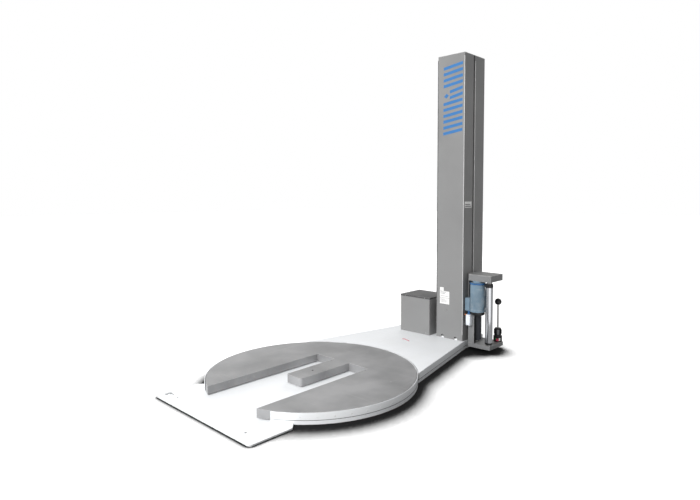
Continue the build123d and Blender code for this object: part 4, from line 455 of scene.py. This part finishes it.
def bar_tree():
    """Tapered bars on marked places, each standing along its own facing: ribs, louvres and tick marks."""
    tree, given, out = geometry_tree("bars", {
        "Width": ("Float", 0.002), "Length": ("Float", 0.05), "Height": ("Float", 0.003),
        "Top Share": ("Float", 0.6), "Finish": ("Material", None)})
    root = maths(tree, "MULTIPLY", given["Width"], 0.7071)  # a square's corner, from its middle
    tip = maths(tree, "MULTIPLY", root, given["Top Share"])
    bar = add(tree, "GeometryNodeMeshCone", {"Vertices": 4, "Radius Top": tip, "Radius Bottom": root,
                                             "Depth": given["Height"]}).outputs["Mesh"]
    square = add(tree, "GeometryNodeTransform", {"Geometry": bar, "Rotation": (0, 0, math.pi / 4)}).outputs[0]
    ratio = maths(tree, "DIVIDE", given["Length"], given["Width"])
    long = add(tree, "ShaderNodeCombineXYZ", {"X": 1.0, "Y": ratio, "Z": 1.0}).outputs[0]
    stretched = add(tree, "GeometryNodeTransform", {"Geometry": square, "Scale": long}).outputs[0]
    facing = marked(tree, "facing")
    aim = add(tree, "FunctionNodeAlignRotationToVector", {"Vector": facing}, axis="Z").outputs[0]
    laid = add(tree, "FunctionNodeAlignRotationToVector", {"Rotation": aim, "Vector": marked(tree, "along")},
               axis="Y", pivot_axis="Z").outputs[0]
    end_tree(tree, given, out, stretched, laid)
    return tree


FASTENERS, BARS = fastener_tree(), bar_tree()


def repeated(name, tree, places, body, finish, **sizes):
    """Runs a tree over marked places, (point, facing, along), and keeps what it makes as one plain mesh."""
    mesh = bpy.data.meshes.new(name + "_places")
    mesh.from_pydata([spot[0] for spot in places], [], [])
    for label, index in (("facing", 1), ("along", 2)):
        marks = mesh.attributes.new(label, "FLOAT_VECTOR", "POINT")
        for mark, spot in zip(marks.data, places):
            mark.vector = spot[index] if len(spot) > index else UP
    maker = bpy.data.objects.new(name + "_maker", mesh)
    bpy.context.scene.collection.objects.link(maker)
    modifier = maker.modifiers.new("make", "NODES")
    modifier.node_group = tree
    values = {label.replace("_", " ").title(): value for label, value in sizes.items()}
    values["Finish"] = FINISH[finish]
    for socket in tree.interface.items_tree:
        if socket.in_out == "INPUT" and socket.name in values:
            modifier[socket.identifier] = values[socket.name]
    depsgraph = bpy.context.evaluated_depsgraph_get()
    made = bpy.data.meshes.new_from_object(maker.evaluated_get(depsgraph))
    made.name = name
    maker.modifiers.clear()
    bpy.data.objects.remove(maker)
    return keep(name, made, body, finish)


def hex_bolts(name, places, body, size=0.008, finish="steel"):
    """Hexagon bolts with washers; size is half the width across the corners."""
    return repeated(name, FASTENERS, places, body, finish, sides=6, head_radius=size, head_height=size * 0.7,
                    top_share=0.93, recess_share=0.7, recess_depth=size * 0.06, washer_radius=size * 1.35,
                    washer_height=size * 0.16)


def cap_screws(name, places, body, size=0.005, finish="steel", height=0.5):
    """Round-headed socket screws; size is the head's radius, and height is a share of it."""
    return repeated(name, FASTENERS, places, body, finish, sides=20, head_radius=size,
                    head_height=size * height, top_share=0.82, recess_share=0.5,
                    recess_depth=size * height * 0.7, washer_radius=size * 1.05, washer_height=size * 0.1)


# ---------------------------------------------------------------- turntable and base fittings

STICKER = 0.0004  # how far stickers and prints stand proud
SUNK = 0.0004  # how far small fittings are let into the face they sit on


def ring_places(centre, radius, count, start, end, z):
    """Marked places round a vertical axis, facing outward."""
    places = []
    for i in range(count):
        turn = math.radians(start + (end - start) * i / (count - 1))
        out = (math.cos(turn), math.sin(turn), 0)
        places.append(((centre[0] + radius * out[0], centre[1] + radius * out[1], z), out, UP))
    return places


def table_fittings():
    """The screw that holds the table to its pivot, and three plugs for its lifting holes."""
    top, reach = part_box("turntable_deck")[1].z, half_width("turntable_deck") * 0.8
    cap_screws("table_centre_screw", [((0, 0, top - 0.0022), UP)], "turntable", 0.009, "lid_grey", 0.3)
    plugs = [((reach * math.cos(turn), reach * math.sin(turn), top - 0.0016), UP)
             for turn in map(math.radians, (20, 90, 160))]
    cap_screws("table_plugs", plugs, "turntable", 0.006, "table_grey", 0.3)


def ring_fittings():
    """Countersunk screws round the guard ring's wall, on both sides of its entry."""
    wall, height = half_width("guard_ring") - 0.0009, middle("guard_ring").z - 0.004
    places = [place for start, end in ((-56, 30), (150, 236))
              for place in ring_places((0, 0), wall, 12, start, end, height)]
    cap_screws("ring_screws", places, "base", 0.0055, "base_white", 0.3)


def plate_fittings():
    """Floor anchors at the entry, and the levelling screw on its pad in the corner pocket."""
    anchors = [((x, -0.940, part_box("base_plate")[0].z + 0.004), UP) for x in (-0.416, 0.416)]
    cap_screws("floor_anchors", anchors, "base", 0.0078, "steel", 0.4)
    hex_bolts("levelling_screw", [((-0.525, -0.945, 0.0016), UP)], "base", 0.007, "base_white")
    shape = bmesh.new()
    block(shape, (-0.5480, -0.9755, 0.0004), (-0.4945, -0.9220, 0.0017), 0.0004)
    shaped("levelling_pad", shape, "base", "base_white")


def deck_fittings():
    """Screws that hold the deck's cover down, along both sides and at its rear."""
    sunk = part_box("deck_cover")[1].z - 0.0012
    edge = [(0.640, 0.60), (0.598, 0.78), (0.552, 0.98), (0.504, 1.18), (0.458, 1.38), (0.405, 1.62),
            (0.405, 1.90)]
    places = [((side * x, y, sunk), UP) for x, y in edge for side in (-1, 1)]
    places += [((x, 1.912, sunk), UP) for x in (-0.2, 0.0)]
    cap_screws("deck_screws", places, "base", 0.0055, "base_white", 0.3)


def seam_path(side):
    """The wall's foot on one side: down the column base, along the deck, then round the ring."""
    points = [(0.421, 1.928), (0.421, 1.605), (0.658, 0.524)]
    start, end, radius = math.degrees(math.atan2(0.512, 0.658)), -61.0, 0.834
    points += [place[0][:2] for place in ring_places((0, 0), radius, 49, start, end, 0)]
    return [Vector((side * x, y, 0)) for x, y in points]


def wall_seam():
    """The dark joint between the base frame and the sheet above it, down both sides and round the ring."""
    sunk, proud, foot, head = -0.002, 0.0007, 0.0262, 0.0288
    shape = bmesh.new()
    for side in (1, -1):
        path = seam_path(side)
        rings = []
        for i, point in enumerate(path):
            along = (path[min(i + 1, len(path) - 1)] - path[max(i - 1, 0)]).normalized()
            out = Vector((-along.y, along.x, 0)) * side
            rings.append([shape.verts.new(point + out * push + Vector((0, 0, z)))
                          for push, z in ((sunk, foot), (proud, foot), (proud, head), (sunk, head))])
        shape.faces.new(rings[0])
        shape.faces.new(rings[-1])
        skin(shape, rings)
    shaped("wall_seam", shape, "base", "belt_rubber")


def turning_mark():
    """A small printed arrow on the deck that shows which way the table turns."""
    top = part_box("deck_cover")[1].z
    outline = [(-0.060, 1.236), (-0.028, 1.252), (-0.030, 1.241), (0.010, 1.232), (0.049, 1.212),
               (0.046, 1.203), (0.006, 1.221), (-0.033, 1.230), (-0.038, 1.219)]
    shape = bmesh.new()
    prism(shape, outline, top - 0.0002, top + STICKER, "z")
    shaped("turning_mark", shape, "base", "label_red")


def cover_lid_painted_shade():
    """The drive cover's lid, a plate with a turned-down rim, and the screws in its rim and foot. The lid's
    darker grey is painted shade for the cover's top.
    """
    low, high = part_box("drive_cover")
    out, rim = 0.0012, 0.016
    shape = bmesh.new()
    block(shape, (low.x - out, low.y - out, high.z - rim), (high.x + out, high.y + out, high.z + 0.0014), out)
    # The lid's darker grey is painted shade on the cover's top
    shaped("cover_lid_painted_shade", shape, "base", "lid_grey")
    height, centre = high.z - rim / 2, middle("drive_cover").y
    places = [((x, low.y - out / 2, height), FRONT) for x in (low.x + 0.06, high.x - 0.06)]
    places += [((x, y, height), facing) for x, facing in ((low.x - out / 2, LEFT), (high.x + out / 2, RIGHT))
               for y in (centre - 0.1, centre + 0.1)]
    cap_screws("cover_lid_screws", places, "base", 0.004, "steel", 0.4)
    foot = [((x, low.y + SUNK, low.z + 0.02), FRONT) for x in (low.x + 0.04, high.x - 0.04)]
    cap_screws("cover_foot_screws", foot, "base", 0.0045, "steel", 0.4)


def cover_louvres():
    """Cooling louvres in the drive cover's left and rear walls."""
    low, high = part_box("drive_cover")
    centre = middle("drive_cover")
    heights = [low.z + 0.12 + 0.018 * i for i in range(9)]
    places = [((low.x + 0.0006, centre.y, z), LEFT, BACK) for z in heights]
    places += [((centre.x, high.y - 0.0006, z), BACK, RIGHT) for z in heights]
    repeated("cover_louvres", BARS, places, "base", "machine_grey", width=0.009, length=0.15,
             height=0.004, top_share=0.35)


# ---------------------------------------------------------------- column fittings


def column_fittings():
    """Screws down the column's rear and left walls, and round its cap."""
    low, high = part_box("column_front_shell")[0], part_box("column_rear_shell")[1]
    rear = [((x, high.y - SUNK, z), BACK) for x in (low.x + 0.018, high.x - 0.018)
            for z in (0.3, 0.7, 1.6, 2.0, 2.4, 2.7)]
    left = [((low.x + SUNK, high.y - 0.06, z), LEFT) for z in (0.3, 0.75, 1.2, 1.65, 2.1, 2.55)]
    cap_screws("column_screws", rear + left, "base", 0.005, "steel", 0.45)
    low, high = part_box("column_cap")
    height = high.z - 0.011
    places = [((low.x + SUNK, y, height), LEFT) for y in (low.y + 0.09, high.y - 0.09)]
    places += [((x, low.y + SUNK, height), FRONT) for x in (low.x + 0.06, high.x - 0.06)]
    cap_screws("cap_screws", places, "base", 0.004, "steel", 0.4)


def column_edge_strip():
    """The thin dark trim down the column's front left corner."""
    low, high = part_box("column_front_shell")
    shape = bmesh.new()
    block(shape, (low.x - 0.0012, low.y - 0.0012, low.z + 0.05),
          (low.x + 0.007, low.y + 0.004, high.z - 0.03), 0.0008)
    shaped("column_edge_strip", shape, "base", "lid_grey")


def slot_and_corner_painted_highlights():
    """Pale strips that are painted highlight: the light caught by the folded edge behind the carriage's slot,
    and by the front right corner.
    """
    low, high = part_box("column_rear_shell")
    side, front = high.x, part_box("column_front_shell")[0].y
    shape = bmesh.new()
    # Both strips are painted highlight along an edge, not parts of their own
    block(shape, (side - 0.002, 1.7315, low.z + 0.1), (side + 0.0012, 1.7385, high.z - 0.05), 0.0005)
    block(shape, (side - 0.0035, front - 0.0009, low.z + 0.06),
          (side + 0.0009, front + 0.0035, high.z - 0.03), 0.0006)
    shaped("slot_and_corner_painted_highlights", shape, "base", "painted_highlight_grey")


def column_stripes():
    """The blue graphic near the column's top: six pairs of plain slanted bars, and a small diamond."""
    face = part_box("column_front_shell")[0].y
    foot, pitch, second, slant, thick, end = 2.045, 0.112, 0.055, 0.030, 0.028, 0.40
    shape = bmesh.new()
    for i, start in enumerate((0.19, 0.19, 0.19, 0.26, 0.19, 0.19)):
        for z in (foot + i * pitch, foot + i * pitch + second):
            outline = [(start, z), (end, z + slant), (end, z + slant + thick), (start, z + thick)]
            prism(shape, outline, face - 0.0006, face + STICKER, "y")
    diamond = [(0.195, 2.412), (0.222, 2.394), (0.249, 2.420), (0.222, 2.438)]
    prism(shape, diamond, face - 0.0006, face + STICKER, "y")
    shaped("column_stripes", shape, "base", "graphic_blue")


def column_labels():
    """White stickers low on the column's front and one on its side, with grey rules and no words."""
    face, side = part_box("column_front_shell")[0].y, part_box("column_rear_shell")[1].x
    paper, rules = bmesh.new(), bmesh.new()
    for corners in ((0.166, 0.273, 0.414, 0.472), (0.166, 0.273, 0.475, 0.539), (0.166, 0.209, 0.541, 0.575)):
        panel(paper, corners, face - 0.0005, face + STICKER, "y")
    for corners in ((0.176, 0.236, 0.526, 0.530), (0.176, 0.224, 0.514, 0.518), (0.176, 0.262, 0.490, 0.493),
                    (0.176, 0.222, 0.456, 0.460), (0.176, 0.252, 0.444, 0.447), (0.176, 0.238, 0.432, 0.435)):
        panel(rules, corners, face - 0.0008, face + 0.0002, "y")
    panel(paper, (1.566, 1.686, 1.354, 1.412), side - 0.0004, side + 0.0005, "x")
    for corners in ((1.574, 1.678, 1.362, 1.372), (1.574, 1.666, 1.380, 1.388)):
        panel(rules, corners, side - 0.0002, side + 0.0008, "x")
    shaped("column_stickers", paper, "base", "label_white")
    shaped("sticker_rules", rules, "base", "print_grey")
    cap_screws("earth_screw", [((0.237, face + SUNK, 0.356), FRONT)], "base", 0.006, "steel", 0.5)


# ---------------------------------------------------------------- carriage fittings


def housing_fittings():
    """Screws round the gear housing's lid, and the bearing caps under it."""
    top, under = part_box("housing_lid")[1].z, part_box("gear_housing")[0].z
    round_lid = ((0.474, 1.664), (0.474, 1.788), (0.560, 1.603), (0.672, 1.603), (0.672, 1.700),
                 (0.672, 1.792), (0.560, 1.792))
    places = [((x, y, top - 0.0006), UP) for x, y in round_lid]
    cap_screws("lid_screws", places, "carriage", 0.0048, "steel", 0.6)
    shape = bmesh.new()
    for node in ("feed_roller", "idler_roller"):
        collar(shape, 0.0125, 0.027, -0.006, 0.0005, (*middle(node).xy, under), "z", 40, 0.0015)
    shaped("housing_bearing_caps", shape, "carriage", "steel")


def idler_pin():
    """The bright pin that holds the chrome roller's top end in the housing."""
    top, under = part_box("idler_ends")[1].z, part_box("gear_housing")[0].z
    shape = bmesh.new()
    turned(shape, [(0, top - 0.004), (0.0105, top - 0.004), (0.0105, top + 0.004), (0.0085, top + 0.006),
                   (0.0085, under - 0.006), (0.012, under - 0.005), (0.012, under), (0, under)],
           (*middle("idler_ends").xy, 0), "z", 32)
    shaped("idler_pin", shape, "carriage", "chrome_roller")


def idler_top_cap():
    """The black domed cap that closes the chrome roller's top."""
    reach, top = half_width("idler_roller"), 0.640
    shape = bmesh.new()
    turned(shape, [(0.011, top - 0.024), (reach + 0.0006, top - 0.024), (reach + 0.0022, top - 0.022),
                   (reach + 0.0022, top + 0.002), (reach - 0.001, top + 0.009), (reach - 0.010, top + 0.0145),
                   (0.019, top + 0.0165), (0.0175, top + 0.019), (0.011, top + 0.019)],
           (*middle("idler_roller").xy, 0), "z", 44)
    shaped("idler_top_cap", shape, "idler_roller", "black_plastic")


def motor_fittings():
    """The feed motor's flange with its bolts, the ring at its lower end, and its cooling ribs."""
    axis, reach, inner, ribs = (0.539, 1.617), 0.070, 0.066, 44
    for name, out, low, high, finish in (("motor_flange", 0.0032, 0.634, 0.652, "flange_blue"),
                                         ("motor_end_ring", 0.0018, 0.3755, 0.389, "motor_blue")):
        shape = bmesh.new()
        collar(shape, inner, reach + out, low, high, (*axis, 0), "z", 56, 0.0015)
        shaped(name, shape, "carriage", finish)
    bolts = [(place[0], DOWN) for place in ring_places(axis, 0.0694, 9, 18, 378, 0.6342)[:-1]]
    hex_bolts("motor_flange_bolts", bolts, "carriage", 0.0042, "chrome_roller")
    places = ring_places(axis, reach - 0.0008, ribs + 1, 0, 360, 0.497)[:-1]
    clear = [place for i, place in enumerate(places) if not 168 < i * 360 / ribs < 235]  # of the terminal box
    repeated("motor_ribs", BARS, clear, "carriage", "motor_blue", width=0.0042, length=0.208, height=0.0022,
             top_share=0.55)


def fan_cover_grille():
    """The bars round the fan cover."""
    centre = middle("motor_fan_cover")
    places = ring_places(centre, half_width("motor_fan_cover") - 0.0006, 37, 0, 360, centre.z)[:-1]
    repeated("fan_cover_bars", BARS, places, "carriage", "black_plastic", width=0.004, length=0.018,
             height=0.0022, top_share=0.6)


def terminal_fittings():
    """The terminal box's lid and screws, and the gland that leads down into the junction box."""
    low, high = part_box("terminal_box")
    shape = bmesh.new()
    block(shape, (low.x + 0.001, low.y - 0.004, low.z + 0.004),
          (low.x + 0.050, low.y + 0.002, high.z - 0.004), 0.0025)
    shaped("terminal_lid", shape, "carriage", "motor_blue")
    corners = [((x, low.y - 0.0036, z), FRONT) for x in (low.x + 0.008, low.x + 0.043)
               for z in (low.z + 0.012, high.z - 0.012)]
    cap_screws("terminal_lid_screws", corners, "carriage", 0.0032, "steel", 0.5)
    axis, foot, head = (0.470, 1.581, 0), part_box("junction_box")[1].z - 0.001, low.z + 0.002
    gland = bmesh.new()
    turned(gland, [(0, foot), (0.0125, foot), (0.0135, foot + 0.002), (0.0135, foot + 0.010),
                   (0.0105, foot + 0.013), (0.0095, head - 0.014), (0.0128, head - 0.012),
                   (0.0138, head - 0.010), (0.0138, head - 0.002), (0.012, head), (0, head)],
           axis, "z", 12)
    shaped("terminal_gland", gland, "carriage", "flange_blue", 20)


def junction_fittings():
    """The junction box's lid, standing a little inside its walls, and its four corner screws."""
    low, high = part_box("junction_box")
    inset = 0.0015
    shape = bmesh.new()
    block(shape, (low.x + inset, low.y - 0.0035, low.z + inset),
          (high.x - inset, low.y + 0.001, high.z - inset), 0.0022)
    shaped("junction_lid", shape, "carriage", "white_plastic")
    corners = [((x, low.y - 0.0032, z), FRONT) for x in (low.x + 0.0075, high.x - 0.0075)
               for z in (low.z + 0.009, high.z - 0.009)]
    cap_screws("junction_screws", corners, "carriage", 0.003, "print_grey", 0.4)


def lower_limit_sensor():
    """The small orange-tipped sensor that finds the bottom of the carriage's travel."""
    tip, root = 0.4288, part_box("junction_box")[0].x
    shape = bmesh.new()
    turned(shape, [(0, tip), (0.0055, tip), (0.0078, 0.431), (0.0078, root - 0.002), (0.0095, root - 0.001),
                   (0.0095, root + 0.0005), (0, root + 0.0005)], (0, 1.578, 0.3355), "x", 24)
    shaped("lower_limit_sensor", shape, "carriage", "sensor_orange")


def tray_fittings():
    """Screws that hold the post and the rollers' lower bearings to the tray, and the bearings' flanges."""
    tray = 0.070
    screws = ((0.536, 1.603), (0.672, 1.666), (0.672, 1.605), (0.560, 1.812), (0.500, 1.812))
    places = [((x, y, tray - SUNK), UP) for x, y in screws]
    cap_screws("tray_screws", places, "carriage", 0.006, "chrome_roller", 0.6)
    shape = bmesh.new()
    for node in ("feed_roller", "idler_roller"):
        collar(shape, 0.0125, 0.025, -0.0005, 0.007, (*middle(node).xy, tray), "z", 40, 0.0015)
    shaped("tray_bearing_flanges", shape, "carriage", "steel")


def brake_label():
    """A curved sticker on the brake drum, red and white with a small green patch and no words."""
    centre, reach, count = middle("film_brake"), half_width("film_brake"), 8
    for name, start, end, z0, z1, finish in (("brake_sticker_red", -84, -48, 0.079, 0.103, "label_red"),
                                             ("brake_sticker_white", -47.4, -26, 0.082, 0.108, "label_white"),
                                             ("brake_sticker_green", -96, -85, 0.096, 0.106, "button_green")):
        shape = bmesh.new()
        inner, outer = [[[shape.verts.new(place[0])
                          for place in ring_places(centre, radius, count + 1, start, end, z)]
                         for z in (z0, z1)] for radius in (reach - SUNK, reach + 0.0006)]
        for i in range(count):
            shape.faces.new((outer[0][i], outer[0][i + 1], outer[1][i + 1], outer[1][i]))
            shape.faces.new((inner[0][i], inner[1][i], inner[1][i + 1], inner[0][i + 1]))
            for level in (0, 1):
                shape.faces.new((inner[level][i], inner[level][i + 1], outer[level][i + 1], outer[level][i]))
        for i in (0, count):
            shape.faces.new((inner[0][i], outer[0][i], outer[1][i], inner[1][i]))
        shaped(name, shape, "carriage", finish)


def grip_plate():
    """The small grey plate on the front of the core grips."""
    turn = Matrix.Rotation(math.radians(32), 3, "Z")
    shape = bmesh.new()
    block(shape, (-0.011, -0.0385, 0.139), (0.011, -0.033, 0.187), 0.001)
    bmesh.ops.rotate(shape, verts=shape.verts, matrix=turn)
    bmesh.ops.translate(shape, verts=shape.verts, vec=(*middle("core_grips").xy, 0))
    shaped("grip_plate", shape, "film_spindle", "print_grey")


def grip_ribs():
    """Ribs down the core grips."""
    places = ring_places(middle("core_grips"), 0.0326, 19, 0, 360, 0.163)[:-1]
    repeated("grip_ribs", BARS, places, "film_spindle", "black_plastic", width=0.005, length=0.056,
             height=0.0042, top_share=0.5)


# ---------------------------------------------------------------- control cabinet fittings


def cabinet_fittings():
    """The control cabinet's rain lip, cable glands and side louvres, and the two locks on its door."""
    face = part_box("cabinet_door")[1].y
    lip = bmesh.new()
    block(lip, (0.034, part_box("control_cabinet")[0].y + 0.002, 1.500), (0.306, 2.100, 1.506), 0.0015)
    shaped("cabinet_rain_lip", lip, "base", "machine_grey")
    glands = bmesh.new()
    for x in (0.09, 0.15, 0.21):
        turned(glands, [(0, 0.874), (0.008, 0.874), (0.0095, 0.878), (0.013, 0.882), (0.013, 0.892),
                        (0.0105, 0.893), (0.0105, 0.895), (0.0145, 0.8955), (0.0145, 0.9006), (0, 0.9006)],
               (x, 2.0, 0), "z", 18)
    shaped("cabinet_glands", glands, "base", "black_plastic", 20)
    louvres = [((0.2994, 2.0, 1.0 + 0.02 * i), RIGHT, BACK) for i in range(8)]
    repeated("cabinet_louvres", BARS, louvres, "base", "machine_grey", width=0.009, length=0.11, height=0.004,
             top_share=0.35)
    lock = bmesh.new()
    for z in (1.02, 1.40):
        turned(lock, [(0, face - 0.001), (0.0125, face - 0.001), (0.0125, face + 0.003),
                      (0.011, face + 0.0045), (0.0052, face + 0.0045), (0.0045, face + 0.0018),
                      (0, face + 0.0018)], (0.278, 0, z), "y", 28)
    shaped("door_locks", lock, "cabinet_door", "steel")


def door_plates():
    """Bezels and blank plates at the controls, the emergency stop's disc, and ticks round the knob."""
    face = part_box("cabinet_door")[1].y
    plates, bezels = bmesh.new(), bmesh.new()
    for node, wide in (("start_button", 0.019), ("stop_button", 0.019), ("speed_knob", 0.022)):
        x, z = middle(node).xz
        reach, plate = half_width(node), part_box(node)[1].z + 0.009
        collar(bezels, reach + 0.0012, reach + 0.0052, face - 0.0005, face + 0.0035, (x, 0, z), "y", 36)
        block(plates, (x - wide, face - SUNK, plate), (x + wide, face + 0.0012, plate + 0.012), 0.0005)
    shaped("control_bezels", bezels, "cabinet_door", "steel")
    shaped("control_plates", plates, "cabinet_door", "label_white")
    disc = bmesh.new()
    (x, z), reach = middle("estop_button").xz, half_width("estop_button")
    collar(disc, reach + 0.001, reach + 0.009, face - 0.0005, face + 0.0014, (x, 0, z), "y", 44, 0.0005)
    shaped("estop_disc", disc, "cabinet_door", "label_yellow")
    (x, z), reach = middle("speed_knob").xz, half_width("speed_knob") + 0.0085
    outs = [(math.cos(turn), 0, math.sin(turn)) for turn in (math.radians(27 * i - 45) for i in range(11))]
    ticks = [((x + reach * out[0], face - 0.0002, z + reach * out[2]), BACK, out) for out in outs]
    repeated("speed_ticks", BARS, ticks, "cabinet_door", "print_grey", width=0.0011, length=0.0042,
             height=0.0006, top_share=0.9)


table_fittings()
ring_fittings()
plate_fittings()
deck_fittings()
wall_seam()
turning_mark()
cover_lid_painted_shade()
cover_louvres()
column_fittings()
column_edge_strip()
slot_and_corner_painted_highlights()
column_stripes()
column_labels()
housing_fittings()
idler_pin()
idler_top_cap()
motor_fittings()
fan_cover_grille()
terminal_fittings()
junction_fittings()
lower_limit_sensor()
tray_fittings()
brake_label()
grip_plate()
grip_ribs()
cabinet_fittings()
door_plates()

# ---------------------------------------------------------------- floor, light and camera


def floor_finish():
    """Plain pale floor, with a soft dark painted shadow where the machine stands close to it, drawn from an
    occlusion mask.
    """
    tree, shader = new_finish("studio_floor", Roughness=0.9)
    # Leaning to the rear left, so that the painted shadow falls to the front and right
    lean = add(tree, "ShaderNodeCombineXYZ", {0: -0.5, 1: 0.5, 2: 0.7}).outputs[0]
    near = add(tree, "ShaderNodeAmbientOcclusion", {"Distance": 0.27, "Normal": lean},
               samples=24).outputs["AO"]
    outside_painted_shadow = spread(tree, near, 0.68, 0.93)
    # The painted shadow darkens both the floor's colour and the glow that the camera sees
    tree.links.new(mix(tree, outside_painted_shadow, srgb(8, 8, 9), srgb(188, 188, 188)), shader["Base Color"])
    tree.links.new(mix(tree, outside_painted_shadow, (0, 0, 0, 1), (1, 1, 1, 1)), shader["Emission Color"])
    tree.links.new(add(tree, "ShaderNodeLightPath").outputs["Is Camera Ray"], shader["Emission Strength"])


def studio_floor():
    """A wide floor slab under the machine."""
    floor_finish()
    shape = bmesh.new()
    block(shape, (-40, -40, -0.05), (40, 40, -0.0006), 0.01)
    mesh = bpy.data.meshes.new("studio_floor")
    shape.to_mesh(mesh)
    shape.free()
    mesh.materials.append(FINISH["studio_floor"])
    slab = bpy.data.objects.new("studio_floor", mesh)
    bpy.context.scene.collection.objects.link(slab)


def softbox(name, place_at, target, size, power, mirrored=True, lighting=True):
    """A large soft light aimed at the machine. One may light without being mirrored, or be mirrored only."""
    lamp = bpy.data.lights.new(name, "AREA")
    lamp.shape, lamp.size, lamp.size_y, lamp.energy = "RECTANGLE", size[0], size[1], power
    holder = bpy.data.objects.new(name, lamp)
    bpy.context.scene.collection.objects.link(holder)
    holder.visible_camera, holder.visible_glossy, holder.visible_diffuse = False, mirrored, lighting
    holder.location = place_at
    holder.rotation_euler = (Vector(target) - Vector(place_at)).to_track_quat("-Z", "Y").to_euler()


# How bright the room is, from its left wall to its right one, and the softboxes' power in watts
ROOM_WALLS = ((0.02, 1.15), (0.1, 1.0), (0.18, 0.48), (0.55, 0.42), (0.72, 0.38), (0.98, 0.34))
KEY_LIGHT, BACK_LIGHT, CARD_LIGHT = 1040.0, 230.0, 6.0


def studio_light():
    """A room seen as white, but dimmer for the machine and darker on its right, with three softboxes."""
    world = bpy.data.worlds.new("studio")
    world.use_nodes = True
    tree = world.node_tree
    seen = add(tree, "ShaderNodeLightPath").outputs["Is Camera Ray"]
    where = add(tree, "ShaderNodeTexCoord").outputs["Generated"]
    across = add(tree, "ShaderNodeSeparateXYZ", {0: where}).outputs["X"]
    share = add(tree, "ShaderNodeMath", {0: across, 1: 0.5, 2: 0.5}, operation="MULTIPLY_ADD").outputs[0]
    walls = add(tree, "ShaderNodeValToRGB", {0: share})
    for at, grey in ROOM_WALLS:
        walls.color_ramp.elements.new(at).color = (grey, grey, grey, 1)
    shade = mix(tree, seen, walls.outputs["Color"], (1, 1, 1, 1))
    tree.links.new(shade, tree.nodes["Background"].inputs["Color"])
    bpy.context.scene.world = world
    softbox("key_softbox", (0.8, -8.0, 5.5), (0.1, 0.4, 0.9), (5, 3), KEY_LIGHT, mirrored=False)
    softbox("back_softbox", (-3.5, 8.5, 4.5), (0, 1.5, 1.2), (5, 3), BACK_LIGHT, mirrored=False)
    softbox("roller_card", (1.60, 0.88, 0.35), (0.656, 1.622, 0.35), (1.7, 1.1), CARD_LIGHT, lighting=False)


def studio_camera():
    """The camera: where it stands, how it is turned, tilted and rolled, and how wide it sees."""
    data = bpy.data.cameras.new("camera")
    data.sensor_width, data.lens, data.clip_end = 36.0, 27.3677, 200.0
    data.shift_x, data.shift_y = 0.00158, -0.03534
    camera = bpy.data.objects.new("camera", data)
    bpy.context.scene.collection.objects.link(camera)
    turn, tilt, roll = (Matrix.Rotation(math.radians(angle), 4, axis)
                        for angle, axis in ((43.5654, "Z"), (86.8471, "X"), (-0.0925, "Z")))
    camera.matrix_world = Matrix.Translation((3.08848, -2.82452, 1.46673)) @ turn @ tilt @ roll
    bpy.context.scene.camera = camera


studio_floor()
studio_light()
studio_camera()
bpy.context.scene.view_settings.view_transform = "Standard"
